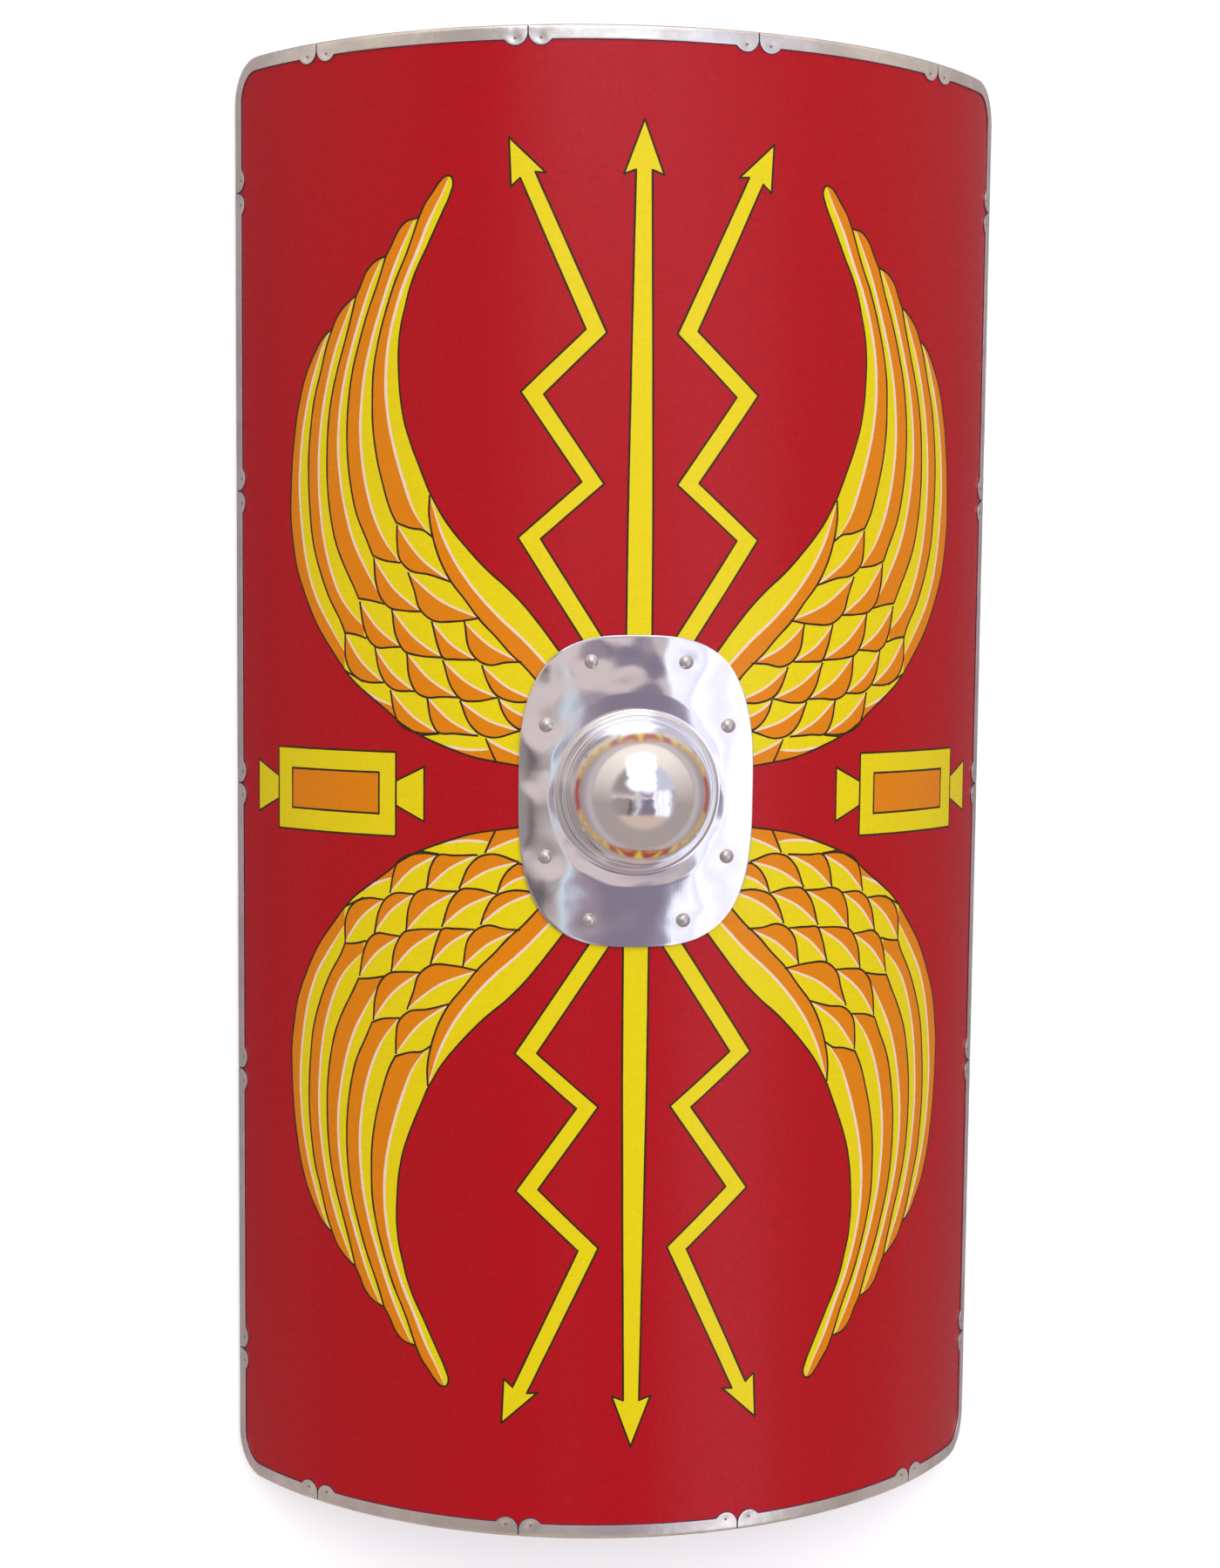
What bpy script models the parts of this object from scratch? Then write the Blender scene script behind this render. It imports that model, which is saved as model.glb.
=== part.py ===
"""Roman scutum: a curved, painted plywood shield with a metal edge binding and a domed boss.

It lies face up on its two long edges. Metres, +Z up, +Y towards the shield's top.
The pieces are laid out flat on the board's front face, then rolled to its curve.
"""

from math import asin, cos, floor, pi, radians, sin, sqrt

import bmesh
import bpy
from mathutils import Matrix, Vector

# Board, measured along its painted front face
FRONT_RADIUS = 0.328
BOARD_HEIGHT = 1.058
BOARD_WIDTH = 0.685
BOARD_THICKNESS = 0.008
CORNER_RADIUS = 0.030
FACETS = 24
CORNER_STEPS = 5

# Room between neighbouring pieces, and the distance at which points of one piece are merged
FIT_GAP = 0.0003
WELD = 2e-6

# Edge binding: a folded channel with a rounded ear at each end of a piece
BINDING_SHEET = 0.0008
LEG_DEPTH = 0.009
EAR_RADIUS = 0.0085
EAR_DEPTH = 0.013
EAR_STEPS = 6
JOINT_GAP = 0.001
TOP_MIDDLE_LENGTH = 0.160
CORNER_PIECE_ACROSS = 0.0975
CORNER_PIECE_DOWN = 0.094

# Boss: a rounded plate, a raised ring and a dome, measured from the board's front
BOSS_ABOVE_MIDDLE = 0.0075
BOSS_SHEET = 0.0015
PLATE_WIDTH = 0.166
PLATE_HEIGHT = 0.218
PLATE_ROUNDNESS = 3.0
PLATE_STEPS = 44
RING_RADIUS = 0.0565
RING_HEIGHT = 0.0045
RING_BEVEL = 0.0015
FILLET = 0.0025
DOME_RADIUS = 0.050
DOME_HEIGHT = 0.065
DOME_STEPS = 7
TURNED_STEPS = 32
BOSS_ROOT = 0.012

# Hand hole behind the boss
HAND_HOLE_RADIUS = 0.046
HAND_HOLE_STEPS = 32

# Boss rivets: places from the boss's middle, each used in all four quarters
RIVET_SPOTS = ((0.033, 0.0905), (0.064, 0.046))
RIVET_HEAD_RADIUS = 0.005
RIVET_HEAD_HEIGHT = 0.0035
RIVET_SHANK_RADIUS = 0.002
PEEN_RADIUS = 0.0035
PEEN_HEIGHT = 0.0013
RIVET_STEPS = 10
HEAD_STEPS = 3

# Grip: a wooden bar across the hand hole, behind the board
GRIP_LENGTH = 0.250
GRIP_WIDTH = 0.036
GRIP_THICKNESS = 0.028
GRIP_END_THICKNESS = 0.010
GRIP_HAND_LENGTH = 0.110
GRIP_SHOULDER = 0.014
GRIP_ROUNDING = 0.005
SHOULDER_STEPS = 5

# Grip screws, driven from the back straight into the board
SCREW_FROM_END = 0.014
SCREW_SPREAD = 0.016
SCREW_HEAD_RADIUS = 0.004
SCREW_HEAD_HEIGHT = 0.0022
SCREW_SHANK_RADIUS = 0.0018
SCREW_BITE = 0.005
SCREW_STEPS = 10

FACET_WIDTH = BOARD_WIDTH / FACETS
FACET_ANGLE = FACET_WIDTH / FRONT_RADIUS
BACK = -BOARD_THICKNESS
BACK_RADIUS = FRONT_RADIUS - BOARD_THICKNESS
BINDING_OUT = FIT_GAP + BINDING_SHEET
HALF_TOP = BOARD_WIDTH / 2 - CORNER_RADIUS
CORNER_ARC = CORNER_RADIUS * pi / 2
HALF_SIDE = BOARD_HEIGHT / 2 - CORNER_RADIUS
QUARTER = HALF_TOP + CORNER_ARC + HALF_SIDE


def material(name, color, metallic, roughness):
    paint = bpy.data.materials.new(name)
    paint.use_nodes = True
    shader = paint.node_tree.nodes["Principled BSDF"]
    shader.inputs["Base Color"].default_value = (*color, 1)
    shader.inputs["Metallic"].default_value = metallic
    shader.inputs["Roughness"].default_value = roughness
    paint.diffuse_color = (*color, 1)
    return paint


def place(name, mesh, collection, paint=None):
    """Object of this mesh on the shield, whose axis of curvature is the parent empty."""
    thing = bpy.data.objects.new(name, mesh)
    thing.parent = AXIS
    collection.objects.link(thing)
    if paint:
        mesh.materials.clear()
        mesh.materials.append(paint)
    else:
        thing.hide_render = True
        thing.display_type = "WIRE"
    return thing


def welded(thing):
    """The object's mesh with its modifiers applied, its doubles merged and its slivers gone."""
    graph = bpy.context.evaluated_depsgraph_get()
    mesh = bpy.data.meshes.new_from_object(thing.evaluated_get(graph))
    bm = bmesh.new()
    bm.from_mesh(mesh)
    bmesh.ops.remove_doubles(bm, verts=bm.verts, dist=WELD)
    bmesh.ops.dissolve_degenerate(bm, edges=bm.edges, dist=WELD)
    bmesh.ops.recalc_face_normals(bm, faces=bm.faces)
    bm.to_mesh(mesh)
    bm.free()
    return mesh


def mesh_of(thing):
    """The object's welded mesh. The object itself goes."""
    mesh = welded(thing)
    bpy.data.objects.remove(thing)
    return mesh


def finish(thing):
    """Applies the object's cuts, so that what is left is one clean mesh."""
    thing.data = welded(thing)
    thing.modifiers.clear()


def flat_solid(loops, bottom, top):
    """Mesh of a flat plate with this outline, and a hole for each further loop."""
    curve = bpy.data.curves.new("outline", "CURVE")
    curve.dimensions = "2D"
    curve.fill_mode = "BOTH"
    curve.extrude = (top - bottom) / 2
    for loop in loops:
        spline = curve.splines.new("POLY")
        spline.points.add(len(loop) - 1)
        for point, (x, y) in zip(spline.points, loop):
            point.co = (x, y, 0, 1)
        spline.use_cyclic_u = True
    outline = bpy.data.objects.new("outline", curve)
    bpy.context.scene.collection.objects.link(outline)
    mesh = mesh_of(outline)
    mesh.transform(Matrix.Translation((0, 0, (top + bottom) / 2)))
    return mesh


def turned_solid(profile, steps):
    """Mesh turned about Z from a profile that runs down its outer side."""
    mesh = bpy.data.meshes.new("profile")
    edges = [(i, i + 1) for i in range(len(profile) - 1)]
    mesh.from_pydata([(r, 0, z) for r, z in profile], edges, [])
    blank = bpy.data.objects.new("profile", mesh)
    bpy.context.scene.collection.objects.link(blank)
    screw = blank.modifiers.new("turn", "SCREW")
    screw.steps = screw.render_steps = steps
    screw.use_merge_vertices = True
    screw.merge_threshold = 1e-5
    return mesh_of(blank)


def cut(thing, cutter, operation="DIFFERENCE"):
    boolean = thing.modifiers.new(cutter.name, "BOOLEAN")
    boolean.operation = operation
    boolean.object = cutter


def facet_at(x):
    """Number of the board's facet at this place. The end facets run on past the edge."""
    return max(-FACETS // 2, min(FACETS // 2 - 1, floor(x / FACET_WIDTH)))


def bent(x, y, z):
    """Where a point of the flat layout lies on the rolled board, from the axis of curvature."""
    facet = facet_at(x)
    share = x / FACET_WIDTH - facet
    low, high = facet * FACET_ANGLE, (facet + 1) * FACET_ANGLE
    across = sin(low) * (1 - share) + sin(high) * share
    up = cos(low) * (1 - share) + cos(high) * share
    return Vector((across * (FRONT_RADIUS + z), y, up * (FRONT_RADIUS + z)))


def roll(mesh):
    """Cuts a flat mesh along the board's facets and rolls it to the board's curve."""
    bm = bmesh.new()
    bm.from_mesh(mesh)
    bmesh.ops.dissolve_limit(bm, angle_limit=radians(0.5), verts=bm.verts, edges=bm.edges)
    for line in range(1 - FACETS // 2, FACETS // 2):
        everything = bm.verts[:] + bm.edges[:] + bm.faces[:]
        crease = (line * FACET_WIDTH, 0, 0)
        bmesh.ops.bisect_plane(bm, geom=everything, dist=1e-7, plane_co=crease, plane_no=(1, 0, 0))
    bmesh.ops.triangulate(bm, faces=bm.faces)
    for vert in bm.verts:
        vert.co = bent(*vert.co)
    bm.to_mesh(mesh)
    bm.free()
    return mesh


def on_facet(x, y):
    """Places a piece upright on the front facet at this spot of the layout."""
    lean = (facet_at(x) + 0.5) * FACET_ANGLE
    return Matrix.Translation(bent(x, y, 0)) @ Matrix.Rotation(lean, 4, "Y")


def circle(radius, steps, x=0.0, y=0.0):
    """Points of a circle, none of them straight above or beside its middle."""
    angles = [2 * pi * (step + 0.5) / steps for step in range(steps)]
    return [(x + radius * cos(a), y + radius * sin(a)) for a in angles]


def arc(radius, start, end, steps):
    """Points (r, z) of an arc about the origin, without its last point."""
    angles = [start + (end - start) * step / steps for step in range(steps)]
    return [(radius * cos(a), radius * sin(a)) for a in angles]


def edge_point(along, depth):
    """A point in from the board's edge, at a distance clockwise from the top's middle."""
    along %= 4 * QUARTER
    left = along > 2 * QUARTER
    if left:
        along = 4 * QUARTER - along
    low = along > QUARTER
    if low:
        along = 2 * QUARTER - along
    if along < HALF_TOP:
        x, y = along, BOARD_HEIGHT / 2 - depth
    elif along < HALF_TOP + CORNER_ARC:
        angle = pi / 2 - (along - HALF_TOP) / CORNER_RADIUS
        x = HALF_TOP + (CORNER_RADIUS - depth) * cos(angle)
        y = HALF_SIDE + (CORNER_RADIUS - depth) * sin(angle)
    else:
        x, y = BOARD_WIDTH / 2 - depth, QUARTER - along
    return (-x if left else x), (-y if low else y)


def corner_stops(start, end):
    """Distances along the edge of the points that round its corners."""
    firsts = [HALF_TOP, 2 * QUARTER - HALF_TOP - CORNER_ARC]
    firsts += [first + 2 * QUARTER for first in (HALF_TOP, firsts[1])]
    stops = []
    for first in firsts:
        stops += [first + CORNER_ARC * step / CORNER_STEPS for step in range(CORNER_STEPS + 1)]
    return [stop for stop in stops if start < stop < end]


def edge_loop(depth):
    return [edge_point(along, depth) for along in corner_stops(0, 4 * QUARTER)]


def board(paint):
    hole = circle(HAND_HOLE_RADIUS, HAND_HOLE_STEPS, 0, BOSS_ABOVE_MIDDLE)
    sheet = flat_solid([edge_loop(0), hole], BACK, 0)
    thing = place("board", roll(sheet), PARTS, paint)
    cut(thing, bpy.data.objects["rivet_holes"])
    cut(thing, bpy.data.objects["screw_holes"])
    finish(thing)


def binding_outline(start, end):
    """Outline of one binding piece: its outer edge, its inner edge and an ear at each end."""
    start += JOINT_GAP / 2
    end -= JOINT_GAP / 2
    centre = EAR_DEPTH - EAR_RADIUS
    sweep = pi - asin((LEG_DEPTH - centre) / EAR_RADIUS)
    ear = []
    for step in range(EAR_STEPS + 1):
        angle = sweep * step / EAR_STEPS
        ear.append((EAR_RADIUS * (1 - cos(angle)), centre + EAR_RADIUS * sin(angle)))
    corners = corner_stops(start, end)
    outer = [edge_point(along, -BINDING_OUT) for along in (start, *corners, end)]
    last_ear = [edge_point(end - back, depth) for back, depth in ear]
    inner = [edge_point(along, LEG_DEPTH) for along in reversed(corners)]
    first_ear = [edge_point(start + on, depth) for on, depth in reversed(ear)]
    return outer + last_ear + inner + first_ear


def binding_piece(name, start, end, paint):
    """A block folded round the edge: the board with its clearance is cut out of it."""
    block = flat_solid([binding_outline(start, end)], BACK - BINDING_OUT, BINDING_OUT)
    blank = bpy.data.objects.new("blank", block)
    bpy.context.scene.collection.objects.link(blank)
    cut(blank, bpy.data.objects["edge_slot"])
    place(name, roll(mesh_of(blank)), PARTS, paint)


def binding(paint):
    """The binding pieces, clockwise from the middle of the top edge."""
    slot = flat_solid([edge_loop(-FIT_GAP)], BACK - FIT_GAP, FIT_GAP)
    place("edge_slot", slot, CUTTERS).parent = None
    near, far = TOP_MIDDLE_LENGTH / 2, BOARD_WIDTH / 2 - CORNER_PIECE_ACROSS
    top = BOARD_HEIGHT / 2 - CORNER_PIECE_DOWN
    upper = top / 2
    right = [near, far, QUARTER - top, QUARTER - upper, QUARTER, QUARTER + upper, QUARTER + top]
    right += [2 * QUARTER - far, 2 * QUARTER - near]
    joints = [-near] + right + [4 * QUARTER - joint for joint in reversed(right)]
    names = ["top_middle", "top_right", "corner_top_right"]
    names += [f"right_{number}" for number in range(1, 5)]
    names += ["corner_bottom_right", "bottom_right", "bottom_middle", "bottom_left", "corner_bottom_left"]
    names += [f"left_{number}" for number in range(4, 0, -1)]
    names += ["corner_top_left", "top_left"]
    for name, start, end in zip(names, joints, joints[1:]):
        binding_piece(f"rim_{name}", start, end, paint)
    bpy.data.objects.remove(bpy.data.objects["edge_slot"])


def rounded_plate():
    """Outline of the boss plate: straight-sided in the middle, fuller than an ellipse."""
    loop = []
    for x, y in circle(1, PLATE_STEPS):
        size = (abs(x) ** PLATE_ROUNDNESS + abs(y) ** PLATE_ROUNDNESS) ** (1 / PLATE_ROUNDNESS)
        loop.append((x / size * PLATE_WIDTH / 2, y / size * PLATE_HEIGHT / 2 + BOSS_ABOVE_MIDDLE))
    return loop


def settle(mesh):
    """Bends the foot of the dome down with the board. The bend fades out towards its top."""
    mesh.transform(Matrix.Rotation(pi / TURNED_STEPS, 4, "Z"))
    for vert in mesh.vertices:
        share = (DOME_HEIGHT - vert.co.z) / (DOME_HEIGHT - RING_HEIGHT)
        drop = FRONT_RADIUS - sqrt(FRONT_RADIUS**2 - vert.co.x**2)
        vert.co.z -= drop * max(0, min(1, share))
    mesh.transform(Matrix.Translation((0, BOSS_ABOVE_MIDDLE, FRONT_RADIUS)))
    return mesh


def dome_arc(radius):
    middle = DOME_HEIGHT - DOME_RADIUS
    return [(max(r, 0), middle + z) for r, z in arc(radius, pi / 2, 0, DOME_STEPS)]


def dome_outside():
    profile = dome_arc(DOME_RADIUS)
    profile += [(DOME_RADIUS, RING_HEIGHT + FILLET), (DOME_RADIUS + FILLET, RING_HEIGHT)]
    profile += [(RING_RADIUS - RING_BEVEL, RING_HEIGHT), (RING_RADIUS, RING_HEIGHT - RING_BEVEL)]
    profile += [(RING_RADIUS, -BOSS_ROOT), (0, -BOSS_ROOT)]
    return settle(turned_solid(profile, TURNED_STEPS))


def dome_inside():
    under = RING_HEIGHT - BOSS_SHEET
    profile = dome_arc(DOME_RADIUS - BOSS_SHEET)
    profile += [(DOME_RADIUS - BOSS_SHEET, under + FILLET), (DOME_RADIUS - BOSS_SHEET + FILLET, under)]
    profile += [(RING_RADIUS - BOSS_SHEET - RING_BEVEL / 2, under)]
    profile += [(RING_RADIUS - BOSS_SHEET, under - RING_BEVEL / 2)]
    profile += [(RING_RADIUS - BOSS_SHEET, -2 * BOSS_ROOT), (0, -2 * BOSS_ROOT)]
    return settle(turned_solid(profile, TURNED_STEPS))


def board_slab(name, width, height, bottom, top):
    """A cutter in the shape of a patch of the board, between two levels of the layout."""
    x, y = width / 2, height / 2
    middle = BOSS_ABOVE_MIDDLE
    loop = [(-x, middle - y), (x, middle - y), (x, middle + y), (-x, middle + y)]
    return place(name, roll(flat_solid([loop], bottom, top)), CUTTERS)


def boss(paint):
    """Plate and dome joined as a thick block, trimmed to the board and hollowed from behind."""
    plate = roll(flat_solid([rounded_plate()], -BOSS_ROOT / 2, FIT_GAP + BOSS_SHEET))
    thing = place("boss", plate, PARTS, paint)
    cut(thing, place("dome_outside", dome_outside(), CUTTERS), "UNION")
    cut(thing, board_slab("board_front", PLATE_WIDTH * 1.2, PLATE_HEIGHT * 1.2, -2 * BOSS_ROOT, FIT_GAP))
    cut(thing, place("dome_inside", dome_inside(), CUTTERS))
    cut(thing, bpy.data.objects["rivet_holes"])
    finish(thing)


def rivet_places():
    """Name and place in the layout of each boss rivet."""
    for height, up in (("top", 1), ("bottom", -1)):
        for side, across in (("left", -1), ("right", 1)):
            for spot, (x, y) in zip(("outer", "side"), RIVET_SPOTS):
                yield f"rivet_{height}_{side}_{spot}", across * x, up * y + BOSS_ABOVE_MIDDLE


def drill(name, places, radius, bottom, top, steps):
    """One cutter that holds a drill at each of these places."""
    bm = bmesh.new()
    for where in places:
        middle = Matrix.Translation((0, 0, (top + bottom) / 2))
        bmesh.ops.create_cone(
            bm, cap_ends=True, segments=steps, radius1=radius, radius2=radius, depth=top - bottom, matrix=where @ middle
        )
    mesh = bpy.data.meshes.new(name)
    bm.to_mesh(mesh)
    bm.free()
    return place(name, mesh, CUTTERS)


def rivet_holes():
    places = [on_facet(x, y) for _, x, y in rivet_places()]
    reach = BOARD_THICKNESS + BOSS_ROOT
    drill("rivet_holes", places, RIVET_SHANK_RADIUS + FIT_GAP, -reach, reach, RIVET_STEPS)


def fold_rise(x, radius):
    """How far the next facet of the hollow back stands up under a round seat of this radius."""
    from_fold = abs(x / FACET_WIDTH - round(x / FACET_WIDTH)) * FACET_WIDTH
    return max(0, radius - from_fold) * sin(FACET_ANGLE)


def rivet_profile(x):
    """Head above the boss plate, shank, and the end peened over behind the board."""
    seat = 2 * FIT_GAP + BOSS_SHEET
    back = BACK - FIT_GAP - fold_rise(x, PEEN_RADIUS)
    head = arc(1, pi / 2, 0, HEAD_STEPS)
    profile = [(max(r, 0) * RIVET_HEAD_RADIUS, seat + z * RIVET_HEAD_HEIGHT) for r, z in head]
    profile += [(RIVET_HEAD_RADIUS, seat), (RIVET_SHANK_RADIUS, seat), (RIVET_SHANK_RADIUS, back)]
    profile += [(PEEN_RADIUS, back), (PEEN_RADIUS * 0.7, back - PEEN_HEIGHT), (0, back - PEEN_HEIGHT)]
    return profile


def rivets(paint):
    for name, x, y in rivet_places():
        mesh = turned_solid(rivet_profile(x), RIVET_STEPS)
        mesh.shade_smooth()
        mesh.set_sharp_from_angle(angle=radians(35))
        place(name, mesh, PARTS, paint).matrix_local = on_facet(x, y)


def grip_bottom():
    """Level of the grip's flat back, from the axis of curvature."""
    end = GRIP_LENGTH / 2
    return sqrt(BACK_RADIUS**2 - end**2) - GRIP_END_THICKNESS


def grip_outline():
    """Side view of the grip: a level hand bar between shoulders that rise to the board."""
    low = grip_bottom()
    end, hand = GRIP_LENGTH / 2, GRIP_HAND_LENGTH / 2
    level = low + GRIP_THICKNESS
    curve = []
    for r, z in arc(GRIP_SHOULDER, -pi / 2, 0, SHOULDER_STEPS):
        curve.append((hand + r, level + GRIP_SHOULDER + z))
    right = curve + [(hand + GRIP_SHOULDER, BACK_RADIUS + GRIP_SHOULDER), (end, BACK_RADIUS + GRIP_SHOULDER)]
    right += [(end, low + GRIP_END_THICKNESS / 2), (end - GRIP_END_THICKNESS / 2, low)]
    return right + [(-x, z) for x, z in reversed(right)]


def grip(paint):
    bar = flat_solid([grip_outline()], -GRIP_WIDTH / 2, GRIP_WIDTH / 2)
    bar.transform(Matrix.Translation((0, BOSS_ABOVE_MIDDLE, 0)) @ Matrix.Rotation(pi / 2, 4, "X"))
    thing = place("grip", bar, PARTS, paint)
    rounding = thing.modifiers.new("rounding", "BEVEL")
    rounding.width = GRIP_ROUNDING
    rounding.segments = 3
    rounding.limit_method = "ANGLE"
    rounding.angle_limit = radians(60)
    above = BACK + 3 * GRIP_THICKNESS
    cut(thing, board_slab("board_back", GRIP_LENGTH * 1.2, GRIP_WIDTH * 2, BACK - FIT_GAP, above))
    cut(thing, bpy.data.objects["screw_holes"])
    finish(thing)


def screw_places():
    """Name and place of each grip screw. Its origin is on the grip's flat back."""
    for side, across in (("left", -1), ("right", 1)):
        for height, up in (("upper", 1), ("lower", -1)):
            x = across * (GRIP_LENGTH / 2 - SCREW_FROM_END)
            y = BOSS_ABOVE_MIDDLE + up * SCREW_SPREAD / 2
            yield f"grip_screw_{side}_{height}", Matrix.Translation((x, y, grip_bottom()))


def screw_tip():
    """Height of a screw's tip over the grip's back, so that it bites into the board."""
    x = GRIP_LENGTH / 2 - SCREW_FROM_END
    return sqrt(BACK_RADIUS**2 - x**2) - grip_bottom() + SCREW_BITE


def screw_holes():
    places = [where for _, where in screw_places()]
    radius = SCREW_SHANK_RADIUS + FIT_GAP
    drill("screw_holes", places, radius, -GRIP_THICKNESS, screw_tip() + FIT_GAP, SCREW_STEPS)


def screw_profile():
    """From the tip down: shank, underside of the head, domed head."""
    tip = screw_tip()
    point = 2 * SCREW_SHANK_RADIUS
    profile = [(0, tip), (SCREW_SHANK_RADIUS, tip - point), (SCREW_SHANK_RADIUS, -FIT_GAP)]
    for r, z in arc(1, 0, -pi / 2, HEAD_STEPS):
        profile.append((r * SCREW_HEAD_RADIUS, z * SCREW_HEAD_HEIGHT - FIT_GAP))
    return profile + [(0, -SCREW_HEAD_HEIGHT - FIT_GAP)]


def screws(paint):
    mesh = turned_solid(screw_profile(), SCREW_STEPS)
    mesh.shade_smooth()
    mesh.set_sharp_from_angle(angle=radians(35))
    for name, where in screw_places():
        place(name, mesh, PARTS, paint).matrix_local = where


for old in list(bpy.data.objects):
    bpy.data.objects.remove(old)
PARTS = bpy.data.collections.new("roman_scutum")
CUTTERS = bpy.data.collections.new("cutters")
for group in (PARTS, CUTTERS):
    bpy.context.scene.collection.children.link(group)
AXIS = bpy.data.objects.new("axis_of_curvature", None)
PARTS.objects.link(AXIS)
AXIS.location.z = -bent(BOARD_WIDTH / 2 + BINDING_OUT, 0, BACK - BINDING_OUT).z

red_paint = material("painted_linen", (0.42, 0.012, 0.02), 0, 0.4)
sheet_metal = material("binding_sheet", (0.55, 0.53, 0.50), 1, 0.45)
polished = material("polished_boss", (0.80, 0.79, 0.80), 1, 0.12)
wood = material("grip_wood", (0.36, 0.20, 0.09), 0, 0.5)

rivet_holes()
screw_holes()
board(red_paint)
binding(sheet_metal)
boss(polished)
rivets(polished)
grip(wood)
screws(sheet_metal)
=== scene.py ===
from math import ceil, cos, exp, hypot, pi, radians, sin, sqrt

import bmesh
import bpy
from mathutils import Matrix, Vector, noise
from mathutils.geometry import delaunay_2d_cdt, interpolate_bezier
from mathutils.kdtree import KDTree


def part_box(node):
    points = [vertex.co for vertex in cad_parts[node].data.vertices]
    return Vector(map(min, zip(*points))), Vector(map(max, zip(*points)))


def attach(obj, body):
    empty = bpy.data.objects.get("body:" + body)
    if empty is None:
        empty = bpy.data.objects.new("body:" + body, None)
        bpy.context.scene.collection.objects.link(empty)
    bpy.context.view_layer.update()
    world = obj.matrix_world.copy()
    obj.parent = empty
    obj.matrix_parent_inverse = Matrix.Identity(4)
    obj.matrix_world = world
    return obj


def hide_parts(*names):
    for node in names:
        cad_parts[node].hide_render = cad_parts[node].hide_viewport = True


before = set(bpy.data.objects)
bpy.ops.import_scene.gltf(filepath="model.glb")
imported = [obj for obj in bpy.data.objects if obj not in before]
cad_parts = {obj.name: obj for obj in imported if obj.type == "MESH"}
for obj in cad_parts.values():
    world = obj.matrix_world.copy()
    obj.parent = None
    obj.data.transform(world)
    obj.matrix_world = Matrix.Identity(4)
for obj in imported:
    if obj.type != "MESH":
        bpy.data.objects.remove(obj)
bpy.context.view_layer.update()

# Painted linen. One sheet of fine linen glued over the plywood's whole front and painted by hand
# in oil colours: a red ground, then wings, lightning, arrows and tablets in orange and yellow with
# pale quills, all edged with a thin dark brush line. A round hole is cut out for the hand.
FRONT_RADIUS = 0.328
AXIS_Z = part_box("board")[1].z - FRONT_RADIUS
BOARD_HEIGHT = 1.058
BOARD_WIDTH = 0.685
CORNER_RADIUS = 0.030
LINEN = 0.0006
HAND_HOLE_RADIUS = 0.046
BOSS_ABOVE_MIDDLE = 0.0075
COLUMN = 0.005
COLUMN_END = 0.6
MERGED = 2e-6
MAP_SHARE = 0.98
BRUSH_LINE = 1.5
BRUSH_OVERSHOOT = 0.3
BRUSH_UNEVEN = 0.16
SCALE_QUILL = 1.6
QUILL_BOW = 0.065
WINGS_MIDDLE = 3
ARROW_MIDDLE = 2.5
LOWER_BOLT_SIZE = 0.987
LOWER_BOLT_SHIFT = 1.6
RED, YELLOW, ORANGE, QUILL, OUTLINE, HOLE = range(6)


def on_board(s, y, h):
    """Point at this distance round the front from its middle, this height and this level over it."""
    turn = s / FRONT_RADIUS
    return Vector(((FRONT_RADIUS + h) * sin(turn), y, AXIS_Z + (FRONT_RADIUS + h) * cos(turn)))


def drawn(*places):
    """A smooth line through these places, in millimetres, with a point about every 3 mm."""
    points = [Vector((x, y, 0)) for x, y in places]
    if len(points) == 2:
        return [point.to_2d() for point in points]
    steps = [(b - a).length for a, b in zip(points, points[1:])]
    ways = [(b - a) / size for a, b, size in zip(points, points[1:], steps)]
    tangents = [ways[0]]
    for i in range(1, len(ways)):
        tangents.append((ways[i - 1] * steps[i] + ways[i] * steps[i - 1]).normalized())
    tangents.append(ways[-1])
    line = []
    for i, size in enumerate(steps):
        start, end = points[i], points[i + 1]
        pulls = start + tangents[i] * (size / 3), end - tangents[i + 1] * (size / 3)
        line += interpolate_bezier(start, *pulls, end, max(2, ceil(size / 3) + 1))[:-1]
    return [point.to_2d() for point in line + [points[-1]]]


canvas_points, canvas_faces, canvas_colours = [], [], []


def fill(outline, colour):
    """Paints the inside of a closed outline, in millimetres, over what is there."""
    first = len(canvas_points)
    canvas_points.extend(Vector((x, y)) / 1000 for x, y in outline)
    ring = list(range(first, first + len(outline)))
    area = sum(a[0] * b[1] - a[1] * b[0] for a, b in zip(outline, list(outline[1:]) + [outline[0]]))
    canvas_faces.append(ring if area > 0 else ring[::-1])
    canvas_colours.append(colour)


def brush(line, width, colour, start=1.0, end=1.0):
    """Paints a brush line of slightly uneven width, which may thin out towards its start or end."""
    line = [Vector(point) for point in line]
    ways = [(b - a).normalized() for a, b in zip(line, line[1:])]
    line[0] = line[0] - ways[0] * width * BRUSH_OVERSHOOT * start
    line[-1] = line[-1] + ways[-1] * width * BRUSH_OVERSHOOT * end
    left, right = [], []
    for i, point in enumerate(line):
        way = (ways[max(i - 1, 0)] + ways[min(i, len(ways) - 1)]).normalized()
        share = i / (len(line) - 1)
        thin = min(1, start + 5 * share) * min(1, end + 5 * (1 - share))
        uneven = 1 + BRUSH_UNEVEN * noise.noise((point.x * 0.13, point.y * 0.13, width))
        across = Vector((-way.y, way.x)) * width / 2 * thin * uneven
        left.append(point + across)
        right.append(point - across)
    for i in range(len(line) - 1):
        fill([left[i], right[i], right[i + 1], left[i + 1]], colour)


def ruled(a, b, step):
    """Paints a thin line along a straight edge, in steps that keep it slightly uneven."""
    a, b = Vector(a), Vector(b)
    pieces = max(2, ceil((b - a).length / step))
    brush([a.lerp(b, i / pieces) for i in range(pieces + 1)], BRUSH_LINE, OUTLINE)


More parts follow.
